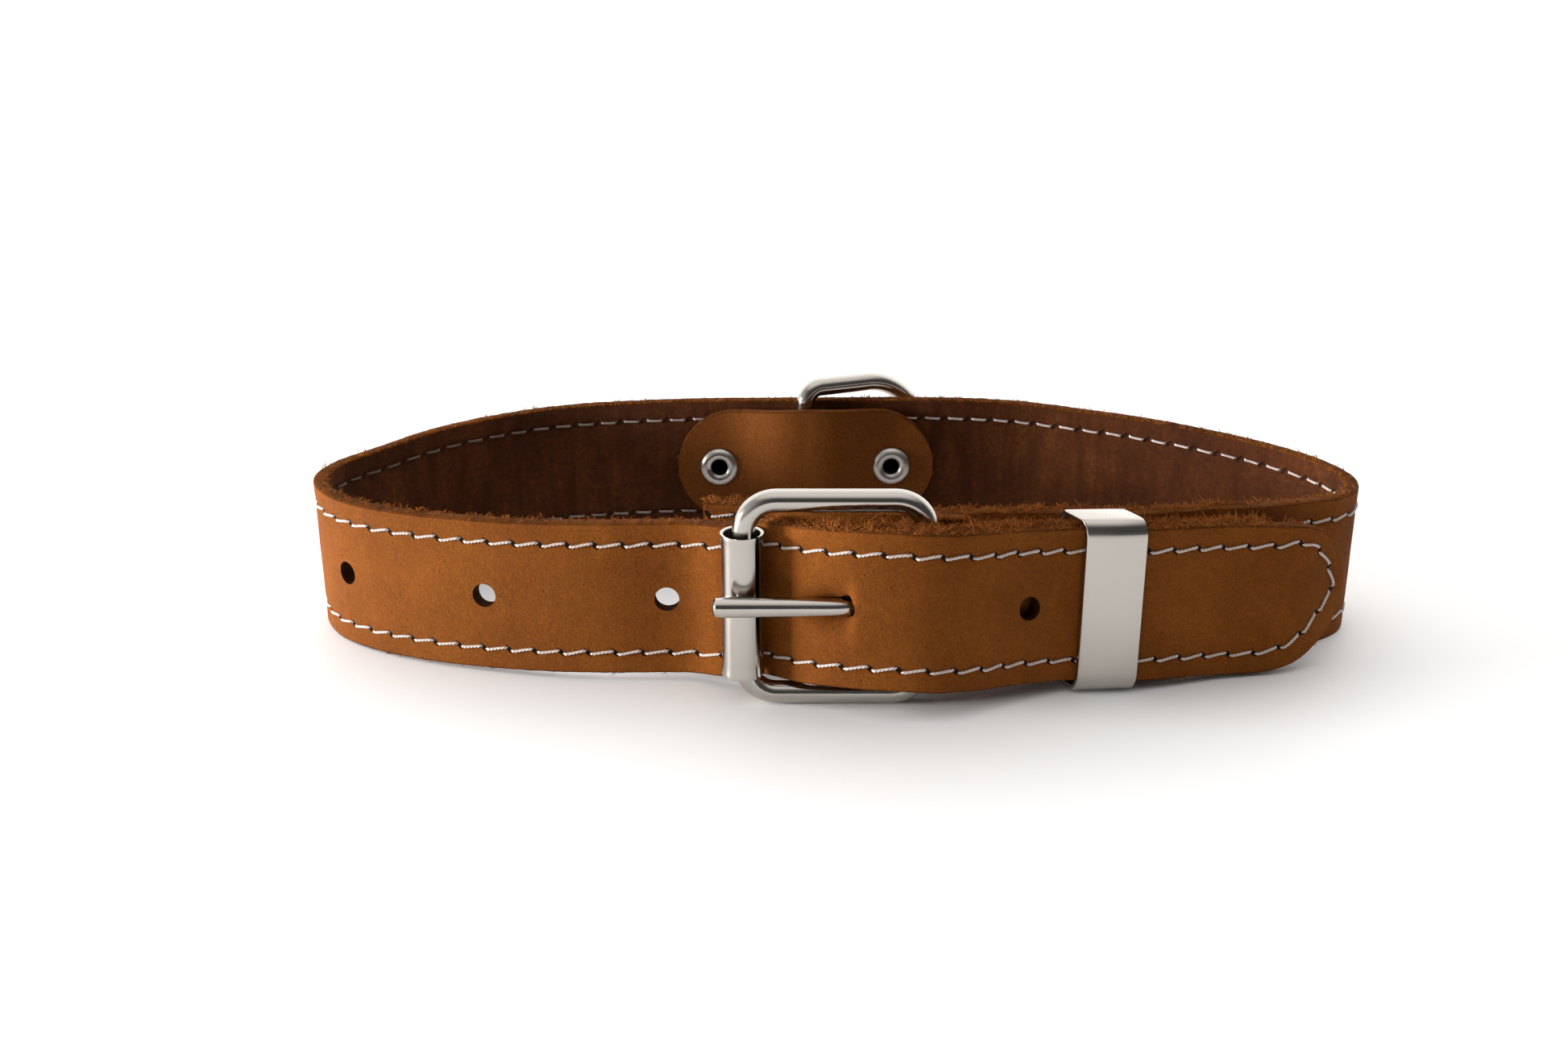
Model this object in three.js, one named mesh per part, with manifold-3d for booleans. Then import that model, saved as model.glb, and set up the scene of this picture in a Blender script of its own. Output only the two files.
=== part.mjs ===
// Buckled leather dog collar standing on its lower edge: a nubuck strap with a
// roller buckle, a sheet keeper, and a D-ring held by a riveted patch.
// Millimetres, +Z up; the front with the buckle faces -Y.
import * as THREE from 'three';
import { mergeVertices } from 'three/addons/utils/BufferGeometryUtils.js';
import Module from 'manifold-3d';

const wasm = await Module();
wasm.setup();

// Leather
const strapWidth = 25;
const strapThick = 2.3;
const chapeThick = 2.3;
const chapeInset = 0.9;
const patchThick = 1.9;
const patchLength = 47.6;
const patchInset = 1.8;
const patchRaise = 0.4;
// Wire and sheet of the metal parts
const frameWire = 3.5;
const framePitch = 27.2;
const frameCorner = 4.9;
const windowSlack = 2.4;
const rollerDiameter = 6.5;
const rollerSheet = 0.55;
const rollerShort = 2.3;
const rollerDrop = 0.9;
const rollerOffset = 0.25;
const seamAt = -0.75;
const seamAngle = 0.26;
const tongueWire = 3.2;
const tongueRoot = 2.6;
const tongueReach = 4;
const tongueTilt = 0.03;
const keeperLength = 9.2;
const keeperSheet = 0.9;
const keeperCorner = 1.9;
const ringWire = 3.3;
const ringSlack = 2.5;
const ringDepth = 21.5;
const ringCorner = 3;
const ringRest = 1;
const ringSwing = 68;
const rivetInset = 7.9;
const rivetFlange = 7.2;
const rivetBore = 3;
const rivetSheet = 0.4;
const rivetDome = 0.8;
// Where things are along the collar, measured from the heel bar of the buckle
const leftRun = 73;
const rightRun = 47;
const keeperReach = 27.7;
const keeperTurn = 0.06;
const keeperSkew = 0.4;
const keeperSlide = 0.75;
const loopDepth = 61;
const ringShift = -17.3;
const chapeReach = 44;
// Punched holes
const holeDiameter = 3.9;
const holePitch = 28.4;
const gap = 0.3;

const chapeWidth = strapWidth - 2 * chapeInset;
const patchHeight = strapWidth - 2 * patchInset;
const ringWindow = strapWidth + ringSlack;
const rivetPitch = patchLength - 2 * rivetInset;
const frameHeight = strapWidth + windowSlack + 2 * frameWire;
const windowLift = (frameHeight - strapWidth) / 2;
const ringLift = ringWire + gap + ringRest;
const loopLength = leftRun + framePitch + keeperReach + rightRun;
const heelClear = frameWire / 2 + 2 * gap + Math.max(chapeThick, tongueRoot);
const rollerBack = rollerDiameter / 2 + gap;
const baseAtHeel = heelClear + 3.7;
const baseAtKeeper = baseAtHeel + 1.6;
const baseSlack = 0.5;
const keeperStack = 3.5 * gap + keeperSheet + chapeThick + strapThick;
const freeAtKeeper = baseAtKeeper - keeperStack - baseSlack;
const frontOuter = 7.4;

// Plan curve of the grain face. Rows run from the rounded tip leftwards through
// keeper and buckle, round the loop and back under the buckle to the flap.
// x, y in plan and the lift of the lower edge over the table.
const freeRows = [
  // share of the run right of the keeper, share of the loop depth, share of the window lift
  { along: 0.85, across: 0.125, rise: 0 },
  { along: 0.76, across: 0.076, rise: 0 },
  { along: 0.67, across: 0.042, rise: 0 },
  { along: 0.43, across: 0.006, rise: 0.18 },
].map((r) => [keeperReach + r.along * rightRun, frontOuter + r.across * loopDepth, r.rise * windowLift]);

const keeperRows = [
  // offset from the keeper's middle as a share of its length, share of the window lift
  { along: 0.75, rise: 0.38 },
  { along: 0.35, rise: 0.4 },
  { along: -0.3, rise: 0.43 },
  { along: -0.56, rise: 0.45 },
].map((r) => [
  keeperReach + r.along * keeperLength,
  freeAtKeeper + r.along * keeperLength * Math.tan(keeperTurn),
  r.rise * windowLift,
]);

const faceAtHeel = -heelClear - strapThick;
const buckleRows = [
  // share of the frame pitch, share of the way from keeper to heel, share of the window lift
  { along: 0.59, across: 0.31, rise: 0.64 },
  { along: 0.44, across: 0.54, rise: 0.78 },
  { along: 0.27, across: 0.82, rise: 0.93 },
  { along: 0.02, across: 1, rise: 1.04 },
  { along: -0.2, across: 1.01, rise: 1.12 },
  { along: -0.43, across: 0.9, rise: 1.1 },
].map((r) => [
  r.along * framePitch,
  freeAtKeeper + r.across * (faceAtHeel - freeAtKeeper),
  r.rise * windowLift,
]);

const rollerRows = [
  // angle round the roller, distance from its axis as a share of the cleared radius
  { angle: -0.31, reach: 2.55, rise: 1 },
  { angle: 0.86, reach: 1.06, rise: 0.84 },
  { angle: 1.35, reach: 1.05, rise: 0.68 },
  { angle: 2.25, reach: 1.7, rise: 0.54 },
].map((r) => [
  -framePitch + r.reach * rollerBack * Math.cos(r.angle),
  r.reach * rollerBack * Math.sin(r.angle),
  r.rise * windowLift,
]);

const leftRows = [
  // share of the run left of the roller, share of the loop depth, share of the window lift
  { along: 0.12, across: -0.01, rise: 0.4 },
  { along: 0.305, across: 0, rise: 0.28 },
  { along: 0.44, across: 0.021, rise: 0.2 },
  { along: 0.585, across: 0.061, rise: 0.13 },
  { along: 0.73, across: 0.119, rise: 0.08 },
  { along: 0.85, across: 0.192, rise: 0.04 },
  { along: 0.944, across: 0.294, rise: 0 },
  { along: 1, across: 0.434, rise: 0 },
  { along: 0.985, across: 0.571, rise: 0 },
  { along: 0.917, across: 0.689, rise: 0.05 },
].map((r) => [
  -framePitch - r.along * leftRun,
  frontOuter + r.across * loopDepth,
  r.rise * windowLift,
]);

const backRows = [
  // share of the whole loop length from its left end, of the depth, of the ring lift
  { along: 0.089, across: 0.84, rise: 0.3 },
  { along: 0.151, across: 0.934, rise: 0.5 },
  { along: 0.217, across: 0.979, rise: 0.7 },
  { along: 0.34, across: 0.992, rise: 0.92 },
  { along: 0.475, across: 0.985, rise: 1 },
  { along: 0.56, across: 0.99, rise: 1 },
  { along: 0.63, across: 0.995, rise: 0.96 },
  { along: 0.702, across: 1, rise: 0.8 },
  { along: 0.768, across: 0.952, rise: 0.65 },
  { along: 0.832, across: 0.894, rise: 0.5 },
  { along: 0.892, across: 0.805, rise: 0.35 },
  { along: 0.95, across: 0.702, rise: 0.15 },
].map((r) => [
  -framePitch - leftRun + r.along * loopLength,
  frontOuter + r.across * loopDepth,
  r.rise * ringLift,
]);

const rightRows = [
  // share of the run right of the keeper, share of the loop depth, share of the window lift
  { along: 0.95, across: 0.59, rise: 0 },
  { along: 1, across: 0.442, rise: 0 },
  { along: 0.963, across: 0.329, rise: 0 },
  { along: 0.867, across: 0.256, rise: 0 },
  { along: 0.76, across: 0.216, rise: 0.06 },
  { along: 0.57, across: 0.155, rise: 0.15 },
  { along: 0.37, across: 0.111, rise: 0.25 },
].map((r) => [
  keeperReach + r.along * rightRun,
  frontOuter + r.across * loopDepth,
  r.rise * windowLift,
]);

const baseKeeperRows = [
  // offset from the keeper's middle as a share of its length, share of the window lift
  { along: 0.62, rise: 0.36 },
  { along: 0, rise: 0.41 },
  { along: -0.6, rise: 0.46 },
].map((r) => [
  keeperReach + r.along * keeperLength,
  baseAtKeeper + r.along * keeperLength * Math.tan(keeperTurn),
  r.rise * windowLift,
]);

const flapRows = [
  // share of the frame pitch, share of the loop depth behind the chape, share of the window lift
  { along: 0.42, across: 0.015, rise: 0.48 },
  { along: 0, across: 0, rise: 0.5 },
  { along: -0.34, across: 0.002, rise: 0.5 },
  { along: -0.61, across: 0.02, rise: 0.49 },
  { along: -0.8, across: 0.051, rise: 0.48 },
  { along: -0.99, across: 0.08, rise: 0.45 },
  { along: -1.25, across: 0.108, rise: 0.42 },
].map((r) => [r.along * framePitch, baseAtHeel + r.across * loopDepth, r.rise * windowLift]);

// Leather bands: a closed sheet following a plan curve, `face` being its outer
// face, with an upper and a lower edge that may close in round a rounded end.
function stations(rows, turn, reach) {
  const curve = new THREE.CatmullRomCurve3(rows.map((r) => new THREE.Vector3(...r)), false, 'centripetal');
  const count = 1600;
  const points = curve.getSpacedPoints(count);
  const step = curve.getLength() / count;
  const list = [];
  let last = null;
  for (let i = 0; i <= count; i += 1) {
    const ahead = points[Math.min(i + 1, count)];
    const behind = points[Math.max(i - 1, 0)];
    const heading = Math.atan2(ahead.y - behind.y, ahead.x - behind.x);
    const bend = last === null ? 0 : heading - last.heading;
    const turned = Math.abs(Math.atan2(Math.sin(bend), Math.cos(bend)));
    if (last === null || i === count || turned > turn || (i - last.index) * step > reach) {
      last = { heading, index: i };
      list.push({ s: i * step, p: points[i], n: new THREE.Vector2(Math.sin(heading), -Math.cos(heading)) });
    }
  }
  return list;
}

function band(list, thick, edges) {
  const positions = [];
  for (const st of list) {
    const [low, high] = edges(st);
    const inX = st.p.x + st.n.x * thick;
    const inY = st.p.y + st.n.y * thick;
    positions.push(st.p.x, st.p.y, low, st.p.x, st.p.y, high, inX, inY, high, inX, inY, low);
  }
  const index = [];
  const last = list.length - 1;
  for (let i = 0; i < last; i += 1) {
    for (let k = 0; k < 4; k += 1) {
      const a = 4 * i + k;
      const b = 4 * i + (k + 1) % 4;
      index.push(a, b, b + 4, a, b + 4, a + 4);
    }
  }
  index.push(0, 2, 1, 0, 3, 2);
  index.push(4 * last, 4 * last + 1, 4 * last + 2, 4 * last, 4 * last + 2, 4 * last + 3);
  const geometry = new THREE.BufferGeometry();
  geometry.setAttribute('position', new THREE.Float32BufferAttribute(positions, 3));
  geometry.setIndex(index);
  return geometry;
}

// Half the height of a band at `s` from a rounded end of radius `radius`.
function roundEnd(s, radius, half) {
  const t = Math.min(Math.max(radius - s, 0), radius * 0.985) / radius;
  return half * Math.sqrt(1 - t * t);
}

// Round wire swept along points of a plane through `origin`; u and v span the
// plane, w is its normal. The radius may change along the wire.
function wire(points, radiusAt, origin, u, v, w, closed, sides) {
  const positions = [];
  const count = points.length;
  points.forEach((p, i) => {
    const a = points[closed ? (i + count - 1) % count : Math.max(i - 1, 0)];
    const b = points[closed ? (i + 1) % count : Math.min(i + 1, count - 1)];
    const d = new THREE.Vector2(b.x - a.x, b.y - a.y).normalize();
    const r = radiusAt(i);
    for (let k = 0; k < sides; k += 1) {
      const angle = 2 * Math.PI * (k + 0.5) / sides;
      const side = r * Math.cos(angle);
      const out = r * Math.sin(angle);
      const x = p.x + d.y * side;
      const y = p.y - d.x * side;
      const q = origin.clone().addScaledVector(u, x).addScaledVector(v, y).addScaledVector(w, out);
      positions.push(q.x, q.y, q.z);
    }
  });
  const index = [];
  const spans = closed ? count : count - 1;
  for (let i = 0; i < spans; i += 1) {
    const j = (i + 1) % count;
    for (let k = 0; k < sides; k += 1) {
      const m = (k + 1) % sides;
      index.push(i * sides + k, i * sides + m, j * sides + m, i * sides + k, j * sides + m, j * sides + k);
    }
  }
  if (!closed) {
    for (let k = 1; k < sides - 1; k += 1) {
      index.push(0, k + 1, k);
      index.push((count - 1) * sides, (count - 1) * sides + k, (count - 1) * sides + k + 1);
    }
  }
  const geometry = new THREE.BufferGeometry();
  geometry.setAttribute('position', new THREE.Float32BufferAttribute(positions, 3));
  geometry.setIndex(index);
  return geometry;
}

function solid(geometry) {
  const plain = geometry.clone();
  plain.deleteAttribute('normal');
  plain.deleteAttribute('uv');
  const merged = mergeVertices(plain, 1e-4);
  return new wasm.Manifold(new wasm.Mesh({
    numProp: 3,
    vertProperties: new Float32Array(merged.attributes.position.array),
    triVerts: new Uint32Array(merged.index.array),
  }));
}

function outward(geometry) {
  const body = solid(geometry);
  if (body.volume() > 0) return body;
  const turned = geometry.clone();
  const ids = Array.from(turned.index.array);
  for (let i = 0; i < ids.length; i += 3) [ids[i], ids[i + 1]] = [ids[i + 1], ids[i]];
  turned.setIndex(ids);
  return solid(turned);
}

function geometryOf(body) {
  const mesh = body.getMesh();
  const geometry = new THREE.BufferGeometry();
  geometry.setAttribute('position', new THREE.BufferAttribute(new Float32Array(mesh.vertProperties), 3));
  geometry.setIndex(new THREE.BufferAttribute(new Uint32Array(mesh.triVerts), 1));
  geometry.computeVertexNormals();
  return geometry;
}

// A round punch through the band at distance s, pointing along the band's normal.
function punch(st, z, diameter, depth, sides) {
  const drill = new THREE.CylinderGeometry(diameter / 2, diameter / 2, depth, sides);
  drill.rotateZ(Math.atan2(-st.n.x, st.n.y));
  drill.translate(st.p.x + st.n.x * depth / 4, st.p.y + st.n.y * depth / 4, z);
  return solid(drill);
}

function at(list, s) {
  const i = Math.max(1, list.findIndex((st) => st.s >= s));
  const a = list[i - 1];
  const b = list[i];
  const t = (s - a.s) / (b.s - a.s);
  return { s, p: a.p.clone().lerp(b.p, t), n: a.n.clone().lerp(b.n, t).normalize() };
}

function nearest(list, x, from, to) {
  let best = null;
  for (let s = from; s <= to; s += 0.1) {
    const st = at(list, s);
    if (best === null || Math.abs(st.p.x - x) < Math.abs(best.p.x - x)) best = st;
  }
  return best;
}

// Strap
const strapRows = [...freeRows, ...keeperRows, ...buckleRows, ...rollerRows, ...leftRows,
  ...backRows, ...rightRows, ...baseKeeperRows, ...flapRows];
const coarse = stations(strapRows, 0.075, 12);
const tipAbove = 0.46 * strapWidth;
const tipBelow = 0.76 * strapWidth;
const tipStations = [0, 0.015, 0.045, 0.09, 0.16, 0.25, 0.36, 0.48, 0.6, 0.78, 1].map((k) => k * tipBelow);
const strapList = [
  ...tipStations.map((s) => at(coarse, s + 1e-6)),
  ...coarse.filter((st) => st.s > tipBelow + 0.5),
];
const strapLength = coarse[coarse.length - 1].s;
const half = strapWidth / 2;
const strapMid = (st) => st.p.z + half;
let strap = outward(band(strapList, strapThick, (st) => {
  return [strapMid(st) - roundEnd(st.s, tipBelow, half), strapMid(st) + roundEnd(st.s, tipAbove, half)];
}));

// Tongue: wire bent round the heel bar, its free end lying on the roller
const tongueZ = frameHeight / 2 - 0.1;
const tongueAxis = new THREE.Vector3(1, 0, -tongueTilt).normalize();
const tongueNormal = new THREE.Vector3(tongueTilt, 0, 1).normalize();
const loopRadius = frameWire / 2 + gap + tongueRoot / 2;
const tongueFront = -(rollerDiameter / 2 + 2 * gap + tongueWire / 2);
const tipX = -framePitch - tongueReach;
const slopeX = -0.04 * framePitch;
const tonguePoints = [];
const tongueRadii = [];
const shankCount = 8;
for (let i = 0; i <= shankCount; i += 1) {
  const t = i / shankCount;
  tonguePoints.push(new THREE.Vector2(
    tipX + (slopeX - tipX) * t,
    tongueFront + (-loopRadius - tongueFront) * t,
  ));
  tongueRadii.push((tongueWire + (tongueRoot - tongueWire) * t) / 2);
}
const loopSteps = 14;
for (let i = 1; i <= loopSteps; i += 1) {
  const angle = -Math.PI / 2 + (i / loopSteps) * 1.72 * Math.PI;
  tonguePoints.push(new THREE.Vector2(loopRadius * Math.cos(angle), loopRadius * Math.sin(angle)));
  tongueRadii.push(tongueRoot / 2);
}
const planeX = new THREE.Vector3(1, 0, 0);
const planeY = new THREE.Vector3(0, 1, 0);
const planeZ = new THREE.Vector3(0, 0, 1);
const tongueOrigin = new THREE.Vector3(0, 0, tongueZ);
const tongue = outward(wire(
  tonguePoints,
  (i) => tongueRadii[i],
  tongueOrigin, tongueAxis, planeY, tongueNormal, false, 12,
));
const tongueCut = outward(wire(
  tonguePoints.slice(0, shankCount + 1),
  (i) => tongueRadii[i] + gap + 0.1,
  tongueOrigin, tongueAxis, planeY, tongueNormal, false, 16,
));
strap = strap.subtract(tongueCut);

// Punched holes: one between buckle and keeper, the others on the left front
const tongueHole = nearest(coarse, -0.46 * framePitch, 20, 110);
const holeSteps = [-1.06, 1.085, 2.115, 3.06];
for (const k of holeSteps) {
  const st = at(coarse, tongueHole.s + k * holePitch);
  strap = strap.subtract(punch(st, strapMid(st), holeDiameter, 4 * strapThick, 16));
}

// Buckle frame: one loop of round wire
function roundedLoop(width, height, corner, steps) {
  const points = [];
  const centres = [[1, 1, 0], [-1, 1, 1], [-1, -1, 2], [1, -1, 3]];
  for (const [sx, sy, quarter] of centres) {
    for (let i = 0; i <= steps; i += 1) {
      const angle = (quarter + i / steps) * Math.PI / 2;
      points.push(new THREE.Vector2(
        sx * (width / 2 - corner) + corner * Math.cos(angle),
        sy * (height / 2 - corner) + corner * Math.sin(angle),
      ));
    }
  }
  return points;
}
const frameOrigin = new THREE.Vector3(-framePitch / 2, 0, frameHeight / 2);
const frame = outward(wire(
  roundedLoop(framePitch, frameHeight - frameWire, frameCorner, 6),
  () => frameWire / 2,
  frameOrigin, planeX, planeZ, planeY, true, 12,
));

// Roller: sheet rolled to a tube round the front bar, its seam left open
const rollerLength = strapWidth - rollerShort;
const rollerShape = new THREE.Shape();
const rollerIn = rollerDiameter / 2 - rollerSheet;
const seamStart = seamAt + seamAngle / 2;
const seamEnd = seamAt - seamAngle / 2 + 2 * Math.PI;
rollerShape.absarc(0, 0, rollerDiameter / 2, seamStart, seamEnd, false);
rollerShape.absarc(0, 0, rollerIn, seamEnd, seamStart, true);
const rollerTube = new THREE.ExtrudeGeometry(rollerShape, {
  depth: rollerLength,
  bevelEnabled: false,
  curveSegments: 24,
});
rollerTube.translate(-framePitch - rollerOffset, 0, (frameHeight - rollerLength) / 2 - rollerDrop);
const roller = solid(rollerTube);

// Chape: tab folded round the heel bar, its outer ply running on through the keeper
const foldRadius = frameWire / 2 + gap + chapeThick;
const chapeRows = [];
const chapeOffset = strapThick + 1.5 * gap;
const plyStops = [
  chapeReach,
  keeperReach + 0.85 * keeperLength,
  keeperReach + 0.4 * keeperLength,
  keeperReach,
  keeperReach - 0.4 * keeperLength,
  keeperReach - 0.7 * keeperLength,
  0.58 * keeperReach,
  0.44 * keeperReach,
  0.3 * keeperReach,
];
for (const x of plyStops) {
  const st = nearest(coarse, x, 10, tongueHole.s);
  chapeRows.push([st.p.x + st.n.x * chapeOffset, st.p.y + st.n.y * chapeOffset, st.p.z]);
}
const foldLift = windowLift;
for (let i = 0; i <= 10; i += 1) {
  const angle = -Math.PI / 2 - (i / 10) * Math.PI;
  chapeRows.push([foldRadius * Math.cos(angle), foldRadius * Math.sin(angle), foldLift]);
}
const plyOffset = chapeOffset + 2 * chapeThick + 2 * gap;
chapeRows.push([0.2 * framePitch, foldRadius, foldLift]);
for (const x of [0.46 * keeperReach, 0.62 * keeperReach]) {
  const st = nearest(coarse, x, 10, tongueHole.s);
  chapeRows.push([st.p.x + st.n.x * plyOffset, st.p.y + st.n.y * plyOffset, st.p.z]);
}
const chapeList = stations(chapeRows, 0.16, 8);
const chapeMid = (st) => st.p.z + half;
let chape = outward(band(chapeList, chapeThick, (st) => {
  return [chapeMid(st) - chapeWidth / 2, chapeMid(st) + chapeWidth / 2];
}));
const slotHeight = tongueRoot + 4 * gap;
const slotWidth = 2 * (loopRadius + tongueRoot / 2 + 2 * gap);
const slot = new THREE.BoxGeometry(slotWidth, 8 * foldRadius, slotHeight);
slot.translate(0, 0, tongueZ);
chape = chape.subtract(solid(slot));

// Keeper: sheet strip bent to a loop round the free end and the chape
const keeperDepth = 2 * keeperSheet + 3.5 * gap + strapThick + chapeThick;
const keeperHeight = strapWidth + 2 * keeperSheet + 5 * gap;
function roundedPath(path, width, height, corner) {
  const w = width / 2;
  const h = height / 2;
  path.moveTo(-w + corner, -h);
  path.lineTo(w - corner, -h);
  path.absarc(w - corner, -h + corner, corner, -Math.PI / 2, 0, false);
  path.lineTo(w, h - corner);
  path.absarc(w - corner, h - corner, corner, 0, Math.PI / 2, false);
  path.lineTo(-w + corner, h);
  path.absarc(-w + corner, h - corner, corner, Math.PI / 2, Math.PI, false);
  path.lineTo(-w, -h + corner);
  path.absarc(-w + corner, -h + corner, corner, Math.PI, 1.5 * Math.PI, false);
  return path;
}
const keeperShape = roundedPath(new THREE.Shape(), keeperDepth, keeperHeight, keeperCorner);
keeperShape.holes.push(roundedPath(
  new THREE.Path(), keeperDepth - 2 * keeperSheet, keeperHeight - 2 * keeperSheet, keeperCorner - keeperSheet,
));
const keeperLoop = new THREE.ExtrudeGeometry(keeperShape, {
  depth: keeperLength,
  bevelEnabled: false,
  curveSegments: 5,
});
keeperLoop.translate(0, 0, -keeperLength / 2);
keeperLoop.rotateX(Math.PI / 2);
keeperLoop.rotateZ(Math.PI / 2);
keeperLoop.applyMatrix4(new THREE.Matrix4().makeShear(0, 0, -keeperSkew, 0, 0, 0));
keeperLoop.rotateZ(keeperTurn);
const keeperFace = nearest(coarse, keeperReach, 10, tongueHole.s);
keeperLoop.translate(
  keeperFace.p.x + keeperSlide - keeperSkew * keeperDepth / 2
    - Math.sin(keeperTurn) * (keeperDepth / 2 - keeperSheet - gap),
  keeperFace.p.y + Math.cos(keeperTurn) * (keeperDepth / 2 - keeperSheet - gap),
  keeperFace.p.z + half,
);
const keeper = solid(keeperLoop);

// D-ring: its straight bar stands between strap and patch, the bow goes round the
// strap to the outside and has swung to the right
const ringAt = nearest(coarse, ringShift, 200, 330);
const inward = ringAt.n;
const ringHeight = ringWindow + 2 * ringWire;
const barOffset = strapThick + gap + ringWire / 2;
const barX = ringAt.p.x + inward.x * barOffset;
const barY = ringAt.p.y + inward.y * barOffset;
const swing = THREE.MathUtils.degToRad(ringSwing);
const outX = -inward.x * Math.cos(swing) - inward.y * Math.sin(swing);
const outY = -inward.y * Math.cos(swing) + inward.x * Math.sin(swing);
const ringPoints = [];
const ringHalf = (ringHeight - ringWire) / 2;
const ringFar = ringDepth + ringWire;
const bowStart = 0.5 * ringFar;
const bowArc = (cx, cz, radius, from, turn, steps) => {
  for (let i = 0; i <= steps; i += 1) {
    const angle = from + turn * i / steps;
    ringPoints.push(new THREE.Vector2(cx + radius * Math.cos(angle), cz + radius * Math.sin(angle)));
  }
};
bowArc(ringCorner, ringHalf - ringCorner, ringCorner, Math.PI, -Math.PI / 2, 4);
for (let i = 0; i <= 16; i += 1) {
  const angle = Math.PI / 2 - (i / 16) * Math.PI;
  const reach = bowStart + (ringFar - bowStart) * Math.cos(angle);
  ringPoints.push(new THREE.Vector2(reach, ringHalf * Math.sin(angle)));
}
bowArc(ringCorner, -ringHalf + ringCorner, ringCorner, -Math.PI / 2, -Math.PI / 2, 4);
const ringU = new THREE.Vector3(outX, outY, 0);
const ringW = new THREE.Vector3(-outY, outX, 0);
const ringOrigin = new THREE.Vector3(barX, barY, ringHeight / 2);
const ring = outward(wire(ringPoints, () => ringWire / 2, ringOrigin, ringU, planeZ, ringW, true, 12));

// Patch: stadium of leather riveted over the D-ring's bar, grain side inwards
const patchRows = [];
const patchHalf = patchLength / 2;
const bulge = ringWire + gap;
const patchSteps = [-1, -0.85, -0.6, -0.45, -0.33, -0.22, -0.11, 0, 0.11, 0.22, 0.33, 0.45, 0.6, 0.85, 1];
for (const k of patchSteps) {
  const st = at(coarse, ringAt.s + k * patchHalf);
  const rise = bulge * Math.exp(-((k / 0.22) ** 2)) * (1 + (k / 0.22) ** 2) + strapThick + gap;
  patchRows.push([st.p.x + st.n.x * rise, st.p.y + st.n.y * rise, st.p.z]);
}
const patchList = stations(patchRows, 0.13, 5);
const patchRun = patchList[patchList.length - 1].s;
const patchRadius = patchHeight / 2;
const endShares = [0.0, 0.03, 0.09, 0.18, 0.3, 0.44, 0.6, 0.8, 1].map((k) => k * patchRadius);
const patchAll = [
  ...endShares.map((s) => at(patchList, s + 1e-6)),
  ...patchList.filter((st) => st.s > patchRadius + 0.4 && st.s < patchRun - patchRadius - 0.4),
  ...endShares.map((s) => at(patchList, patchRun - s - 1e-6)).reverse(),
];
let patch = outward(band(patchAll, patchThick, (st) => {
  const h = roundEnd(Math.min(st.s, patchRun - st.s), patchRadius, patchRadius);
  const mid = st.p.z + half + patchRaise;
  return [mid - h, mid + h];
}));

// Rivets: tubes through strap and patch, headed outside and rolled over to a flange inside
const rivetParts = [-1, 1].map((side) => {
  const st = at(coarse, ringAt.s + side * rivetPitch / 2);
  const z = st.p.z + half + patchRaise;
  const stack = strapThick + gap + patchThick;
  const bore = rivetBore / 2;
  const barrel = bore + rivetSheet;
  const rim = rivetFlange / 2;
  const top = stack + gap;
  const profile = [
    [0, -gap - rivetDome], [barrel, -gap - rivetDome * 0.85], [rim - 0.5, -gap - rivetDome * 0.5],
    [rim, -gap], [barrel, -gap], [barrel, top], [rim, top], [rim - 0.5, top + rivetDome * 0.7],
    [barrel, top + rivetDome], [bore, top + rivetDome * 0.6], [bore, 0], [0, 0],
  ].map(([r, h]) => new THREE.Vector2(r, h));
  const turned = new THREE.LatheGeometry(profile, 20);
  turned.rotateZ(Math.atan2(-st.n.x, st.n.y));
  turned.translate(st.p.x, st.p.y, z);
  const drill = punch(st, z, 2 * (barrel + gap), 4 * stack, 16);
  strap = strap.subtract(drill);
  patch = patch.subtract(drill);
  return outward(turned);
});

// Materials and the finished group, standing on the origin by the middle of its footprint
const leather = { roughness: 0.85, metalness: 0 };
const nickel = { color: 0xc8c4bd, roughness: 0.22, metalness: 1 };
const pieces = [
  ['strap', strap, { color: 0x96551f, ...leather }],
  ['chape', chape, { color: 0x7d4a24, ...leather }],
  ['ring_patch', patch, { color: 0x8a5426, ...leather }],
  ['buckle_frame', frame, nickel],
  ['roller', roller, nickel],
  ['tongue', tongue, nickel],
  ['keeper', keeper, nickel],
  ['d_ring', ring, nickel],
  ['rivet_left', rivetParts[0], nickel],
  ['rivet_right', rivetParts[1], nickel],
];

const group = new THREE.Group();
group.name = 'dog_collar';
const bounds = new THREE.Box3();
const geometries = pieces.map(([, body]) => {
  const geometry = geometryOf(body);
  geometry.computeBoundingBox();
  bounds.union(geometry.boundingBox);
  return geometry;
});
const centre = bounds.getCenter(new THREE.Vector3());
pieces.forEach(([name, , look], i) => {
  geometries[i].translate(-centre.x, -centre.y, -bounds.min.z);
  const mesh = new THREE.Mesh(geometries[i], new THREE.MeshStandardMaterial(look));
  mesh.name = name;
  group.add(mesh);
});

export default group;
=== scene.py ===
# A leather dog collar with a roller buckle, a sheet keeper and a D-ring, buckled
# and standing on its lower edge on a white table. Lengths are in millimetres until
# a mesh is laid in place; the front with the buckle faces -Y.
import math
import random

import bmesh
import bpy
from mathutils import Matrix, Vector, noise


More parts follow.
